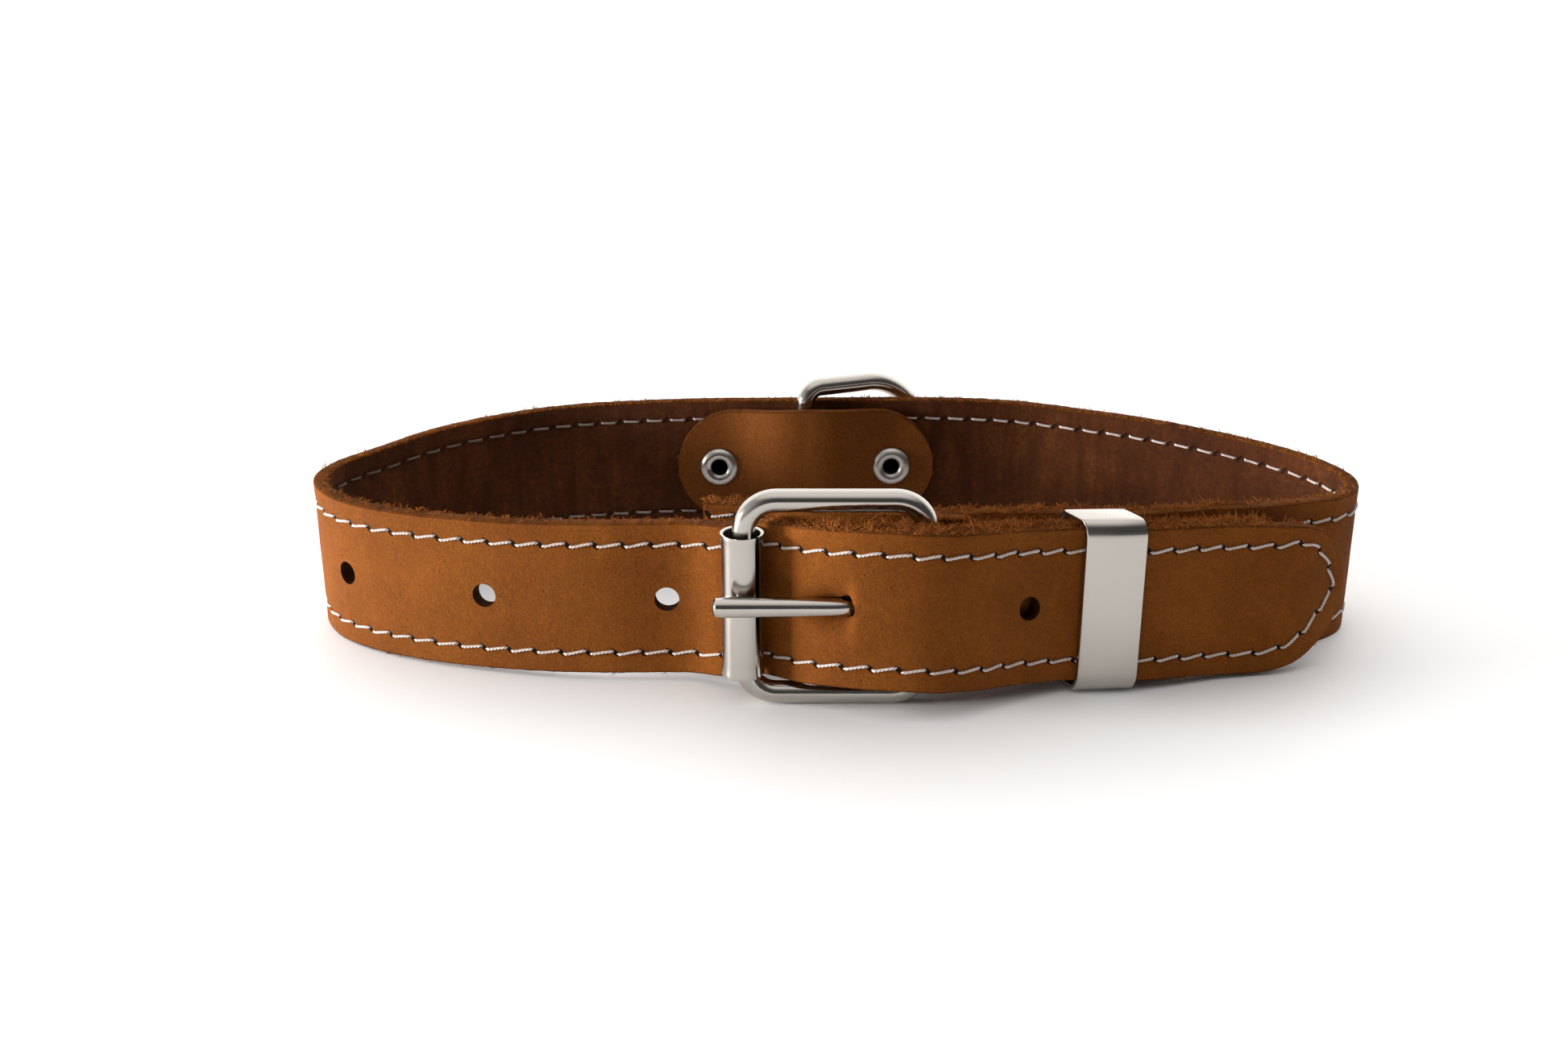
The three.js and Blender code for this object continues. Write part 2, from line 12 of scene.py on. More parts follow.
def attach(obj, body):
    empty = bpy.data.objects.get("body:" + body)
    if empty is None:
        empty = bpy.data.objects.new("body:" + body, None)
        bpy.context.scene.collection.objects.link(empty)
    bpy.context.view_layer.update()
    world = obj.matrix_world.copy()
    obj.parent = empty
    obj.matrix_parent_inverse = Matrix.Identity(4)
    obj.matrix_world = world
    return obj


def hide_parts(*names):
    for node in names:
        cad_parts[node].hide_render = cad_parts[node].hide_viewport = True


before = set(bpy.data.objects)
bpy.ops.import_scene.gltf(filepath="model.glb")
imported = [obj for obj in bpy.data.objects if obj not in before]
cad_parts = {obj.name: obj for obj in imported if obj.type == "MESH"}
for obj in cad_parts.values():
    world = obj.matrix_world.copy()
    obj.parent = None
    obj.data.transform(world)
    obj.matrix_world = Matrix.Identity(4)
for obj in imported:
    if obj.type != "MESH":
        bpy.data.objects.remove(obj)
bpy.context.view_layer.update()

# Camera and table
# The collar stands on a white table top. The camera looks along +Y, 20 degrees down,
# through a 36.3 mm lens from 109 mm over the table.
camera_data = bpy.data.cameras.new("camera")
camera_data.lens = 36.3
camera_data.sensor_width = 36
camera_data.clip_start = 0.01
camera_data.clip_end = 50
camera = bpy.data.objects.new("camera", camera_data)
camera.location = (-0.0084, -0.2516, 0.1087)
camera.rotation_euler = (math.radians(70), 0, 0)
bpy.context.collection.objects.link(camera)
bpy.context.scene.camera = camera

bpy.context.scene.view_settings.view_transform = "Standard"


def add(tree, kind, wires=None, **settings):
    """A node with its settings; wires gives its inputs sockets or values."""
    node = tree.nodes.new(kind)
    for key, value in settings.items():
        setattr(node, key, value)
    for key, value in (wires or {}).items():
        if isinstance(value, bpy.types.NodeSocket):
            tree.links.new(value, node.inputs[key])
        else:
            node.inputs[key].default_value = value
    return node


def new_material(name, **values):
    material = bpy.data.materials.new(name)
    material.use_nodes = True
    tree = material.node_tree
    shader = tree.nodes["Principled BSDF"]
    for key, value in values.items():
        shader.inputs[key.replace("_", " ")].default_value = value
    return material, tree, shader


def finish_mesh(name, bm, materials, angle=40):
    """The bmesh as an object at the origin, smooth but for its sharp edges."""
    bmesh.ops.remove_doubles(bm, verts=bm.verts, dist=1e-7)
    bmesh.ops.recalc_face_normals(bm, faces=bm.faces)
    for face in bm.faces:
        face.smooth = True
    for edge in bm.edges:
        edge.smooth = len(edge.link_faces) == 2 and edge.calc_face_angle(3) < math.radians(angle)
    mesh = bpy.data.meshes.new(name)
    bm.to_mesh(mesh)
    bm.free()
    for material in materials:
        mesh.materials.append(material)
    piece = bpy.data.objects.new(name, mesh)
    bpy.context.collection.objects.link(piece)
    return piece


bm = bmesh.new()
bmesh.ops.create_grid(bm, x_segments=8, y_segments=8, size=9)
table_look = {"Roughness": 0.55, "Base_Color": (0.95, 0.955, 0.965, 1), "Specular_IOR_Level": 0.2}
table = finish_mesh("table", bm, [new_material("table_white", **table_look)[0]])


def calc(tree, operation, a, b=0.0, c=0.0):
    return add(tree, "ShaderNodeMath", {0: a, 1: b, 2: c}, operation=operation).outputs[0]


def ramp(tree, value, low, high, start=0.0, end=1.0, kind="LINEAR"):
    """The value taken from the range low to high over to the range start to end, and held there."""
    wires = {"Value": value, "From Min": low, "From Max": high, "To Min": start, "To Max": end}
    return add(tree, "ShaderNodeMapRange", wires, interpolation_type=kind).outputs[0]


# Soft daylight from behind and from the left, a dark room in front, and one low soft
# light from the left.
world = bpy.data.worlds.new("studio")
world.use_nodes = True
bpy.context.scene.world = world
tree = world.node_tree
tree.nodes.clear()
where = add(tree, "ShaderNodeTexCoord")
axes = add(tree, "ShaderNodeSeparateXYZ", {0: where.outputs["Generated"]}).outputs
back = ramp(tree, axes["Y"], -0.25, 0.55, kind="SMOOTHSTEP")
left = ramp(tree, axes["X"], -0.15, -0.9, 0, 0.3, "SMOOTHSTEP")
high = ramp(tree, axes["Z"], 0.5, 1, 0, 0.7, "SMOOTHSTEP")
shade = ramp(tree, calc(tree, "MAXIMUM", calc(tree, "MAXIMUM", back, left), high), 0, 1, 0.085, 1.8)
ground = add(tree, "ShaderNodeBackground", {"Color": (1, 0.985, 0.965, 1), "Strength": shade})
add(tree, "ShaderNodeOutputWorld", {0: ground.outputs[0]})

light = bpy.data.lights.new("window_left", "AREA")
light.shape = "RECTANGLE"
light.size = 0.24
light.size_y = 0.12
light.energy = 12
light.color = (1, 0.985, 0.96)
lamp = bpy.data.objects.new("window_left", light)
lamp.location = (-0.76, -0.115, 0.09)
aim = Vector((-0.02, -0.03, 0.012)) - lamp.location
lamp.rotation_euler = aim.to_track_quat("-Z", "Y").to_euler()
bpy.context.collection.objects.link(lamp)

# Strap
# One strip of nubuck leather, 25 mm wide and 2.3 mm thick, grain side out. It is cut,
# punched and sewn flat along both edges, and then bent along the loop that it stands in.
strap_width = 25.0
strap_thick = 2.3
chape_thick = 2.3
frame_wire = 3.5
frame_pitch = 27.2
roller_diameter = 6.5
keeper_length = 9.2
keeper_sheet = 0.9
keeper_turn = 0.06
keeper_reach = 27.7
left_run = 73.0
right_run = 47.0
loop_depth = 61.0
front_outer = 7.4
ring_wire = 3.3
gap = 0.3
tongue_root = 2.6
window_lift = 4.7
behind_heel = 3.7
behind_keeper = 1.6
base_slack = 0.5
frame_height = strap_width + 2 * window_lift
ring_lift = ring_wire + gap + 1
loop_length = left_run + frame_pitch + keeper_reach + right_run
heel_clear = frame_wire / 2 + 2 * gap + tongue_root
roller_back = roller_diameter / 2 + gap
base_at_heel = heel_clear + behind_heel
base_at_keeper = base_at_heel + behind_keeper
free_at_keeper = base_at_keeper - (3.5 * gap + keeper_sheet + chape_thick + strap_thick) - base_slack
face_at_heel = -heel_clear - strap_thick
heel = Vector((12.8242, -33.3456, 0.0495))

# Each row gives a place of the grain face in plan, along and across its stretch, and
# the lift of the lower edge. Round the roller the place is an angle and a distance. The
# stretches follow each other from the tip to the flap.
free_rows = ((0.85, 0.125, 0), (0.76, 0.076, 0), (0.67, 0.042, 0), (0.43, 0.006, 0.18))
keeper_rows = ((0.75, 0.38), (0.35, 0.4), (-0.3, 0.43), (-0.56, 0.45))
buckle_rows = (
    (0.59, 0.31, 0.64), (0.44, 0.54, 0.78), (0.27, 0.82, 0.93),
    (0.02, 1, 1.04), (-0.2, 1.01, 1.12), (-0.43, 0.9, 1.1),
)
roller_rows = ((-0.31, 2.55, 0.94), (0.86, 1.06, 0.7), (1.35, 1.05, 0.57), (2.25, 1.7, 0.43))
left_rows = (
    (0.12, -0.01, 0.34), (0.305, 0, 0.27), (0.44, 0.021, 0.2), (0.585, 0.061, 0.13), (0.73, 0.119, 0.08),
    (0.85, 0.192, 0.04), (0.944, 0.294, 0), (1, 0.434, 0), (0.985, 0.571, 0), (0.917, 0.689, 0.05),
)
back_rows = (
    (0.089, 0.84, 0.3), (0.151, 0.934, 0.5), (0.217, 0.979, 0.7), (0.34, 0.992, 0.92),
    (0.475, 0.985, 1), (0.56, 0.99, 1), (0.63, 0.995, 0.96), (0.702, 1, 0.8),
    (0.768, 0.952, 0.65), (0.832, 0.894, 0.5), (0.892, 0.805, 0.35), (0.95, 0.702, 0.15),
)
right_rows = (
    (0.95, 0.59, 0), (1, 0.442, 0), (0.963, 0.329, 0), (0.867, 0.256, 0),
    (0.76, 0.216, 0.06), (0.57, 0.155, 0.15), (0.37, 0.111, 0.25),
)
base_keeper_rows = ((0.62, 0.36), (0, 0.41), (-0.6, 0.46))
flap_rows = (
    (0.42, 0.015, 0.48), (0, 0, 0.5), (-0.34, 0.002, 0.5), (-0.61, 0.02, 0.49),
    (-0.8, 0.051, 0.48), (-0.99, 0.08, 0.45), (-1.25, 0.108, 0.42),
)
slope = math.tan(keeper_turn)
strap_rows = (
    [(keeper_reach + a * right_run, front_outer + b * loop_depth, r * window_lift)
     for a, b, r in free_rows]
    + [(keeper_reach + a * keeper_length, free_at_keeper + a * keeper_length * slope, r * window_lift)
       for a, r in keeper_rows]
    + [(a * frame_pitch, free_at_keeper + b * (face_at_heel - free_at_keeper), r * window_lift)
       for a, b, r in buckle_rows]
    + [(-frame_pitch + b * roller_back * math.cos(a), b * roller_back * math.sin(a), r * window_lift)
       for a, b, r in roller_rows]
    + [(-frame_pitch - a * left_run, front_outer + b * loop_depth, r * window_lift)
       for a, b, r in left_rows]
    + [(-frame_pitch - left_run + a * loop_length, front_outer + b * loop_depth, r * ring_lift)
       for a, b, r in back_rows]
    + [(keeper_reach + a * right_run, front_outer + b * loop_depth, r * window_lift)
       for a, b, r in right_rows]
    + [(keeper_reach + a * keeper_length, base_at_keeper + a * keeper_length * slope, r * window_lift)
       for a, r in base_keeper_rows]
    + [(a * frame_pitch, base_at_heel + b * loop_depth, r * window_lift)
       for a, b, r in flap_rows]
)


def bend(rows, step=0.25):
    """A smooth plan curve through the rows, sampled evenly: points and inward normals."""
    knots = [Vector(r) for r in rows]
    knots = [2 * knots[0] - knots[1]] + knots + [2 * knots[-1] - knots[-2]]
    fine = []
    for p0, p1, p2, p3 in zip(knots, knots[1:], knots[2:], knots[3:]):
        t0, t1, t2 = [max((b - a).length, 1e-6) ** 0.5 for a, b in ((p0, p1), (p1, p2), (p2, p3))]
        out = t1 * ((p1 - p0) / t0 - (p2 - p0) / (t0 + t1) + (p2 - p1) / t1)
        into = t1 * ((p2 - p1) / t1 - (p3 - p1) / (t1 + t2) + (p3 - p2) / t2)
        for i in range(60):
            t = i / 60
            fine.append(p1 + out * t + (3 * (p2 - p1) - 2 * out - into) * t ** 2
                        + (2 * (p1 - p2) + out + into) * t ** 3)
    fine.append(knots[-2])
    lengths = [0.0]
    for a, b in zip(fine, fine[1:]):
        lengths.append(lengths[-1] + (b - a).length)
    points, i = [], 0
    count = int(lengths[-1] / step)
    for k in range(count + 1):
        s = k * lengths[-1] / count
        while i < len(fine) - 2 and lengths[i + 1] < s:
            i += 1
        points.append(fine[i].lerp(fine[i + 1], (s - lengths[i]) / (lengths[i + 1] - lengths[i])))
    normals = []
    for k in range(count + 1):
        d = points[min(k + 2, count)] - points[max(k - 2, 0)]
        normals.append(Vector((d.y, -d.x, 0)).normalized())
    return {"step": lengths[-1] / count, "points": points, "normals": normals, "length": lengths[-1]}


def along(path, s):
    """Point of the plan curve at distance s and its inward normal; straight on past its ends."""
    last = len(path["points"]) - 1
    i = max(0, min(last - 1, int(s / path["step"])))
    t = s / path["step"] - i
    point = path["points"][i] + (path["points"][i + 1] - path["points"][i]) * t
    normal = path["normals"][i].lerp(path["normals"][i + 1], min(max(t, 0), 1)).normalized()
    return point, normal


def put(path, flat, middle=strap_width / 2):
    """Where a point of the flat leather (along, depth, up) comes to lie, in metres."""
    point, normal = along(path, flat.x)
    return (point + normal * flat.y + Vector((0, 0, middle + flat.z)) + heel) * 0.001


def slab(stations, edges, thick, rows, rim=0.3):
    """A flat sheet of leather, x along it, y its depth from the outer face, z up."""
    bm = bmesh.new()
    columns = len(stations) - 1
    bmesh.ops.create_grid(bm, x_segments=columns, y_segments=rows, size=1)
    for vert in bm.verts:
        s = stations[round((vert.co.x + 1) / 2 * columns)]
        low, up = edges(s)
        vert.co = (s, 0, low + (up - low) * (vert.co.y + 1) / 2)
    made = bmesh.ops.extrude_face_region(bm, geom=bm.faces[:])
    for vert in (g for g in made["geom"] if isinstance(g, bmesh.types.BMVert)):
        vert.co.y = thick
    bmesh.ops.recalc_face_normals(bm, faces=bm.faces)
    sharp = [e for e in bm.edges if e.calc_face_angle(0) > 1]
    bmesh.ops.bevel(bm, geom=sharp, offset=rim, segments=2, profile=0.5, affect="EDGES", material=-1)
    return bm


def faces_and_rim(bm, thick, outer, inner, rim):
    """Material slots by side of the flat sheet: outer face, inner face and cut edge."""
    for face in bm.faces:
        y = face.calc_center_median().y
        face.material_index = outer if y < 0.02 else inner if y > thick - 0.02 else rim


def store_uv(bm, name, value):
    layer = bm.loops.layers.uv.new(name)
    for face in bm.faces:
        for loop in face.loops:
            loop[layer].uv = value(loop.vert.co)


def cut(bm, drills):
    """The sheet less the drills, which are other bmeshes; the cut faces get the fourth slot."""
    meshes = []
    for k, part in enumerate([bm, *drills]):
        if k:
            for face in part.faces:
                face.material_index = 3
        mesh = bpy.data.meshes.new("work")
        part.to_mesh(mesh)
        part.free()
        for slot in range(4):
            mesh.materials.append(None)
        meshes.append(mesh)
    blank = bpy.data.objects.new("work", meshes[0])
    bpy.context.collection.objects.link(blank)
    tools = []
    for mesh in meshes[1:]:
        tool = bpy.data.objects.new("drill", mesh)
        bpy.context.collection.objects.link(tool)
        modifier = blank.modifiers.new("punch", "BOOLEAN")
        modifier.operation = "DIFFERENCE"
        modifier.solver = "EXACT"
        modifier.object = tool
        tools.append(tool)
    depsgraph = bpy.context.evaluated_depsgraph_get()
    result = bpy.data.meshes.new_from_object(blank.evaluated_get(depsgraph))
    out = bmesh.new()
    out.from_mesh(result)
    for obj in [blank, *tools]:
        bpy.data.objects.remove(obj)
    for mesh in [result, *meshes]:
        bpy.data.meshes.remove(mesh)
    return out


def drill(x, z, radius, thick):
    bm = bmesh.new()
    turn = Matrix.Translation((x, thick / 2, z)) @ Matrix.Rotation(math.pi / 2, 4, "X")
    bmesh.ops.create_cone(bm, cap_ends=True, segments=40, radius1=radius, radius2=radius,
                          depth=4 * thick, matrix=turn)
    return bm


def join(parts):
    whole = bmesh.new()
    for part in parts:
        mesh = bpy.data.meshes.new("part")
        part.to_mesh(mesh)
        part.free()
        whole.from_mesh(mesh)
        bpy.data.meshes.remove(mesh)
    return whole


def nearest(path, x, start, end):
    """The distance along the path, between start and end, at which it comes closest to x."""
    stops = [start + 0.1 * k for k in range(int((end - start) * 10))]
    return min(stops, key=lambda s: abs(along(path, s)[0].x - x))


def ease(value, low, high):
    """0 up to low, 1 from high on, and a smooth step between them."""
    share = min(max((value - low) / (high - low), 0), 1)
    return share * share * (3 - 2 * share)


# The tip is rounded more below than above. The sewing line runs 3.5 mm inside both
# edges, and the upper row comes closer to the edge at the flap's end. The line is a path
# of the flat leather, from the end of the upper row round the tip to that of the lower.
strap_path = bend(strap_rows)
strap_end = strap_path["length"]
half = strap_width / 2
tip_above = 0.46 * strap_width
tip_below = 0.76 * strap_width
stitch_pitch = 4.32
seam_row = 9
seam_straight = 20
row_rise = 1.5
seam_knots = (
    (seam_straight, seam_row), (14, 9.3), (10.5, 9.7), (8.2, 9.2), (6, 7.4), (4.2, 5), (3, 2.6), (2.7, 0.8),
    (4.6, -1.6), (7.5, -4.8), (11, -7.3), (15, -8.6), (seam_straight, -seam_row),
)
seam = bend([(s, z, 0) for s, z in seam_knots], 0.2)
seam_apex = 0.52 * seam["length"]
seam_run = strap_end - seam_straight


def rounded(s, radius, reach):
    """Half the width at distance s from an end that is rounded over the radius."""
    t = min(max(radius - s, 0), radius * 0.985) / radius
    return reach * math.sqrt(1 - t * t)


def strap_edges(s):
    """The lower and the upper edge of the flat strap."""
    return -rounded(s, tip_below, half), rounded(s, tip_above, half)


def upper_row(s):
    return seam_row + row_rise * ease(s, strap_end - 30, strap_end - 12)


def seam_at(u):
    """Where the sewing line is at distance u from the tip, and its outward side there."""
    t = u + seam_apex
    if t < 0:
        s = seam_straight - t
        return Vector((s, 0, upper_row(s))), Vector((0, 0, 1))
    if t > seam["length"]:
        return Vector((seam_straight + t - seam["length"], 0, -seam_row)), Vector((0, 0, -1))
    point, normal = along(seam, t)
    return Vector((point.x, 0, point.y)), Vector((normal.x, 0, normal.y))


seam_stops = [k * 0.25 - seam_apex for k in range(int(seam["length"] * 4) + 1)]
seam_tip = [(u, seam_at(u)) for u in seam_stops]


def seam_place(co):
    """How far a point of the flat leather is along the sewing line and outside it."""
    if co.x > seam_straight and co.z > 0:
        return seam_straight - co.x - seam_apex, co.z - upper_row(co.x)
    if co.x > seam_straight:
        return co.x - seam_straight + seam["length"] - seam_apex, -seam_row - co.z
    u, (point, side) = min(seam_tip, key=lambda row: (row[1][0].x - co.x) ** 2 + (row[1][0].z - co.z) ** 2)
    d = Vector((co.x, 0, co.z)) - point
    return u, d.length if d.dot(side) > 0 else -d.length


body = strap_end - tip_below
body_steps = int(body / 0.65)
strap_stations = [tip_below * (1 - math.cos(math.pi / 2 * k / 30)) for k in range(30)]
strap_stations += [tip_below + body * k / body_steps for k in range(body_steps + 1)]
bm = slab(strap_stations, strap_edges, strap_thick, 40)
faces_and_rim(bm, strap_thick, 0, 1, 2)

# One punched hole holds the tongue, four more are free, and two hold the rivets.
hole_pitch = 28.4
hole_radius = 1.95
tongue_hole = nearest(strap_path, -0.46 * frame_pitch, 20, 110)
tongue_drill = 1.7
ring_shift = -17.3
ring_s = nearest(strap_path, ring_shift, 200, 330)
patch_length = 47.6
patch_raise = 0.4
rivet_inset = 7.9
rivet_drill = 2.2
rivet_half = patch_length / 2 - rivet_inset
holes = [tongue_hole + k * hole_pitch for k in (-1.06, 1.085, 2.115, 3.06)]
punches = [drill(s, 0, hole_radius, strap_thick) for s in holes]
punches.append(drill(tongue_hole, 0.2, tongue_drill, strap_thick))
for side in (-1, 1):
    punches.append(drill(ring_s + side * rivet_half, patch_raise, rivet_drill, strap_thick))
bm = cut(bm, [join(punches)])
store_uv(bm, "flat", lambda co: (co.x, co.z))
store_uv(bm, "seam", seam_place)
bmesh.ops.triangulate(bm, faces=bm.faces)

# Handling has left the faces slightly wavy, the thread draws the leather in, and the
# knife has left the edges a little uneven. The tongue has pressed a hollow into the
# leather beside its hole.
hollow = 2.3
for vert in bm.verts:
    s, d, z = vert.co
    wave = 0.16 * noise.noise(Vector((s / 13, z / 9, 3))) + 0.05 * noise.noise(Vector((s / 3, z / 3, 7)))
    pull = 0.2 * math.exp(-(seam_place(vert.co)[1] / 0.8) ** 2)
    inside = d / strap_thick
    edge = max(0, abs(z) - half + 1)
    ragged = 0.16 * noise.noise(Vector((s / 1.7, 5 * inside, 1))) * edge
    rough = 0.1 * noise.noise(Vector((s / 1.1, z / 1.1, 11))) * inside
    past = s - tongue_hole
    wall = min(max((past + 1.5) / 1.1, 0), 1)
    sunk = hollow * wall * math.exp(-(max(past - 1, 0) / 3.4) ** 2 - (z / 3.0) ** 2)
    vert.co.y += (wave + rough) * 0.5 + pull * (1 - 2 * inside) + sunk
    vert.co.z += math.copysign(ragged, z)
for vert in bm.verts:
    vert.co = put(strap_path, vert.co)

# The tongue comes up through its hole at a slant, so that hole is cut along the tongue.
# The shank runs from its tip over the roller to the loop round the heel bar.
tongue_z = frame_height / 2 - 0.1
tongue_wire = 3.2
tongue_tilt = 0.03
tongue_reach = 4
loop_radius = frame_wire / 2 + gap + tongue_root / 2
tongue_front = -(roller_diameter / 2 + 2 * gap + tongue_wire / 2)
tongue_tip = -frame_pitch - tongue_reach
tongue_slope = -0.04 * frame_pitch
dive_start = -0.5 * frame_pitch
dive_end = -0.4 * frame_pitch
shank = []
for k in range(33):
    share = k / 32
    x = tongue_tip + (tongue_slope - tongue_tip) * share
    dive = 0.4 * ease(x, dive_start, dive_end) * (1 - ease(x, dive_end, tongue_slope))
    y = tongue_front + (-loop_radius - tongue_front) * share + dive
    shank.append((Vector((x, y, 0)), (tongue_wire + (tongue_root - tongue_wire) * share) / 2))


def tongue_place(point):
    return (Vector((point.x, point.y, tongue_z - tongue_tilt * point.x)) + heel) * 0.001


def wire_mesh(name, splines, cyclic=False, resolution=6):
    """Round wire along splines of (place in metres, radius in millimetres), as a bmesh."""
    curve = bpy.data.curves.new(name, "CURVE")
    curve.dimensions = "3D"
    curve.bevel_depth = 0.001
    curve.bevel_resolution = resolution
    curve.use_fill_caps = True
    for points in splines:
        spline = curve.splines.new("POLY")
        spline.points.add(len(points) - 1)
        for target, (place, radius) in zip(spline.points, points):
            target.co = (*place, 1)
            target.radius = radius
        spline.use_cyclic_u = cyclic
    holder = bpy.data.objects.new(name, curve)
    bpy.context.collection.objects.link(holder)
    depsgraph = bpy.context.evaluated_depsgraph_get()
    mesh = bpy.data.meshes.new_from_object(holder.evaluated_get(depsgraph))
    bm = bmesh.new()
    bm.from_mesh(mesh)
    bpy.data.objects.remove(holder)
    bpy.data.curves.remove(curve)
    bpy.data.meshes.remove(mesh)
    bmesh.ops.remove_doubles(bm, verts=bm.verts, dist=1e-8)
    return bm


bm = cut(bm, [wire_mesh("tongue_path", [[(tongue_place(p), r + 0.1) for p, r in shank]])])


def times(tree, a, b):
    return calc(tree, "MULTIPLY", a, b)


def speckle(tree, place, scale, detail, rough=0.5):
    """Soft noise; the larger the scale, the smaller its lumps."""
    wires = {"Vector": place, "Scale": scale, "Detail": detail, "Roughness": rough}
    return add(tree, "ShaderNodeTexNoise", wires).outputs[0]


def blend(tree, share, first, second):
    """The colour between first and second, at the share of second."""
    return add(tree, "ShaderNodeMix", {0: share, 6: first, 7: second}, data_type="RGBA").outputs[2]


def dim(tree, colour, factor):
    return add(tree, "ShaderNodeVectorMath", {0: colour, 1: factor}, operation="MULTIPLY").outputs[0]


def leather_look():
    """Mottled colour, nap and needle holes of leather from its flat and seam coordinates."""
    group = bpy.data.node_groups.new("LeatherLook", "ShaderNodeTree")
    inputs = (
        ("Flat", "Vector", None), ("Seam", "Vector", None),
        ("Light", "Color", (0.4, 0.15, 0.04, 1)), ("Dark", "Color", (0.3, 0.1, 0.02, 1)),
        ("Grain", "Float", 2.6), ("Pores", "Float", 1.0), ("Holes", "Float", 1.0),
        ("Pitch", "Float", stitch_pitch), ("Streaks", "Float", 0.15),
    )
    for name, kind, value in inputs:
        socket = group.interface.new_socket(name, in_out="INPUT", socket_type="NodeSocket" + kind)
        if value is not None:
            socket.default_value = value
    for name, kind in (("Color", "Color"), ("Roughness", "Float"), ("Height", "Float")):
        group.interface.new_socket(name, in_out="OUTPUT", socket_type="NodeSocket" + kind)
    given = add(group, "NodeGroupInput").outputs
    flat = given["Flat"]

    # Clouds and spots between the two colours, then the nap, then dark streaks.
    clouds = speckle(group, flat, 0.055, 4, 0.6)
    spots = speckle(group, flat, 0.7, 5, 0.65)
    nap = speckle(group, flat, given["Grain"], 5, 0.7)
    mixed = calc(group, "ADD", times(group, clouds, 0.65), times(group, spots, 0.35))
    tone = blend(group, ramp(group, mixed, 0.36, 0.64), given["Dark"], given["Light"])
    napped = dim(group, tone, ramp(group, nap, 0.3, 0.7, 0.64, 1.36))
    drawn = add(group, "ShaderNodeMapping", {"Vector": flat, "Scale": (0.32, 0.05, 1)}).outputs[0]
    band = ramp(group, speckle(group, drawn, 1, 4, 0.6), 0.36, 0.62, 1, 0)
    streaked = blend(group, times(group, band, given["Streaks"]), napped, given["Dark"])

    # Pores are dark dots in some of the cells.
    cells = add(group, "ShaderNodeTexVoronoi", {"Vector": flat, "Scale": 0.75, "Randomness": 1})
    picked = add(group, "ShaderNodeSeparateColor", {0: cells.outputs["Color"]}).outputs[0]
    dot = ramp(group, cells.outputs["Distance"], 0.05, 0.17, 1, 0)
    pore = times(group, times(group, dot, calc(group, "GREATER_THAN", picked, 0.55)), given["Pores"])
    pored = blend(group, times(group, pore, 0.45), streaked, (0.03, 0.01, 0.003, 1))

    # Needle holes are slanting slits, one to a pitch of the sewing line, painted near black as the shade
    # inside them.
    line = add(group, "ShaderNodeSeparateXYZ", {0: given["Seam"]}).outputs
    half_pitch = times(group, given["Pitch"], 0.5)
    ahead = calc(group, "FLOORED_MODULO", calc(group, "ADD", line[0], half_pitch), given["Pitch"])
    lap = calc(group, "SUBTRACT", ahead, half_pitch)
    slit = calc(group, "DIVIDE", calc(group, "SUBTRACT", lap, line[1]), 1.2)
    width = calc(group, "DIVIDE", calc(group, "ADD", lap, line[1]), 0.52)
    far = calc(group, "SQRT", calc(group, "ADD", times(group, slit, slit), times(group, width, width)))
    needle = times(group, ramp(group, far, 0.7, 1.15, 1, 0), given["Holes"])
    colour = blend(group, times(group, needle, 0.96), pored, (0.006, 0.003, 0.002, 1))

    raised = calc(group, "ADD", times(group, nap, 0.5), times(group, spots, 0.6))
    sunk = calc(group, "ADD", times(group, pore, 0.35), times(group, needle, 1.6))
    height = calc(group, "SUBTRACT", raised, sunk)
    rough = ramp(group, nap, 0, 1, 0.78, 0.97)
    add(group, "NodeGroupOutput", {"Color": colour, "Roughness": rough, "Height": height})
    return group


look = leather_look()


def leather(name, light, dark, grain, pores, holes, bump, sheen=0.0, gloss=0.12, streaks=0.15):
    tint = (*[min(1, 2.2 * c) for c in light], 1)
    material, tree, shader = new_material(
        name, Sheen_Weight=sheen, Sheen_Roughness=0.45, Sheen_Tint=tint, Specular_IOR_Level=gloss,
    )
    wires = {
        "Flat": add(tree, "ShaderNodeUVMap", uv_map="flat").outputs[0],
        "Seam": add(tree, "ShaderNodeUVMap", uv_map="seam").outputs[0],
        "Light": (*light, 1), "Dark": (*dark, 1), "Grain": grain,
        "Pores": pores, "Holes": holes, "Streaks": streaks,
    }
    skin = add(tree, "ShaderNodeGroup", wires, node_tree=look).outputs
    relief = add(tree, "ShaderNodeBump", {"Strength": bump, "Distance": 0.00022, "Height": skin["Height"]})
    tree.links.new(skin["Color"], shader.inputs["Base Color"])
    tree.links.new(skin["Roughness"], shader.inputs["Roughness"])
    tree.links.new(relief.outputs[0], shader.inputs["Normal"])
    return material


grain_skin = leather("nubuck_grain", (0.215, 0.064, 0.0065), (0.135, 0.0375, 0.0036), 2.6, 1, 1, 1.0)
flesh_skin = leather("suede_flesh", (0.125, 0.037, 0.0095), (0.047, 0.013, 0.0038), 1.3, 0, 0.6, 0.9, 0.03,
                     streaks=0.75)
cut_skin = leather("cut_edge", (0.15, 0.047, 0.0085), (0.06, 0.018, 0.0036), 1.8, 0, 0, 1.0, gloss=0.04)
# The walls of the punched holes, the tongue's cut and the chape's slot get the cut edge's leather at about
# a third of its colour: painted shade for the dark inside of the holes.
hole_shade_skin = leather("hole_wall_painted_shade", (0.05, 0.0155, 0.004), (0.02, 0.006, 0.0015), 1.8, 0, 0, 1.0, gloss=0.04)
leathers = [grain_skin, flesh_skin, cut_skin, hole_shade_skin]
strap = finish_mesh("strap_leather", bm, leathers, 50)
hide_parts("strap")
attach(strap, "collar")

# Stitches
# Saddle stitches of white twisted thread. Outside each stitch lies at a slant from the
# low end of one slit to the high end of the next; inside they lie straight and flatter.


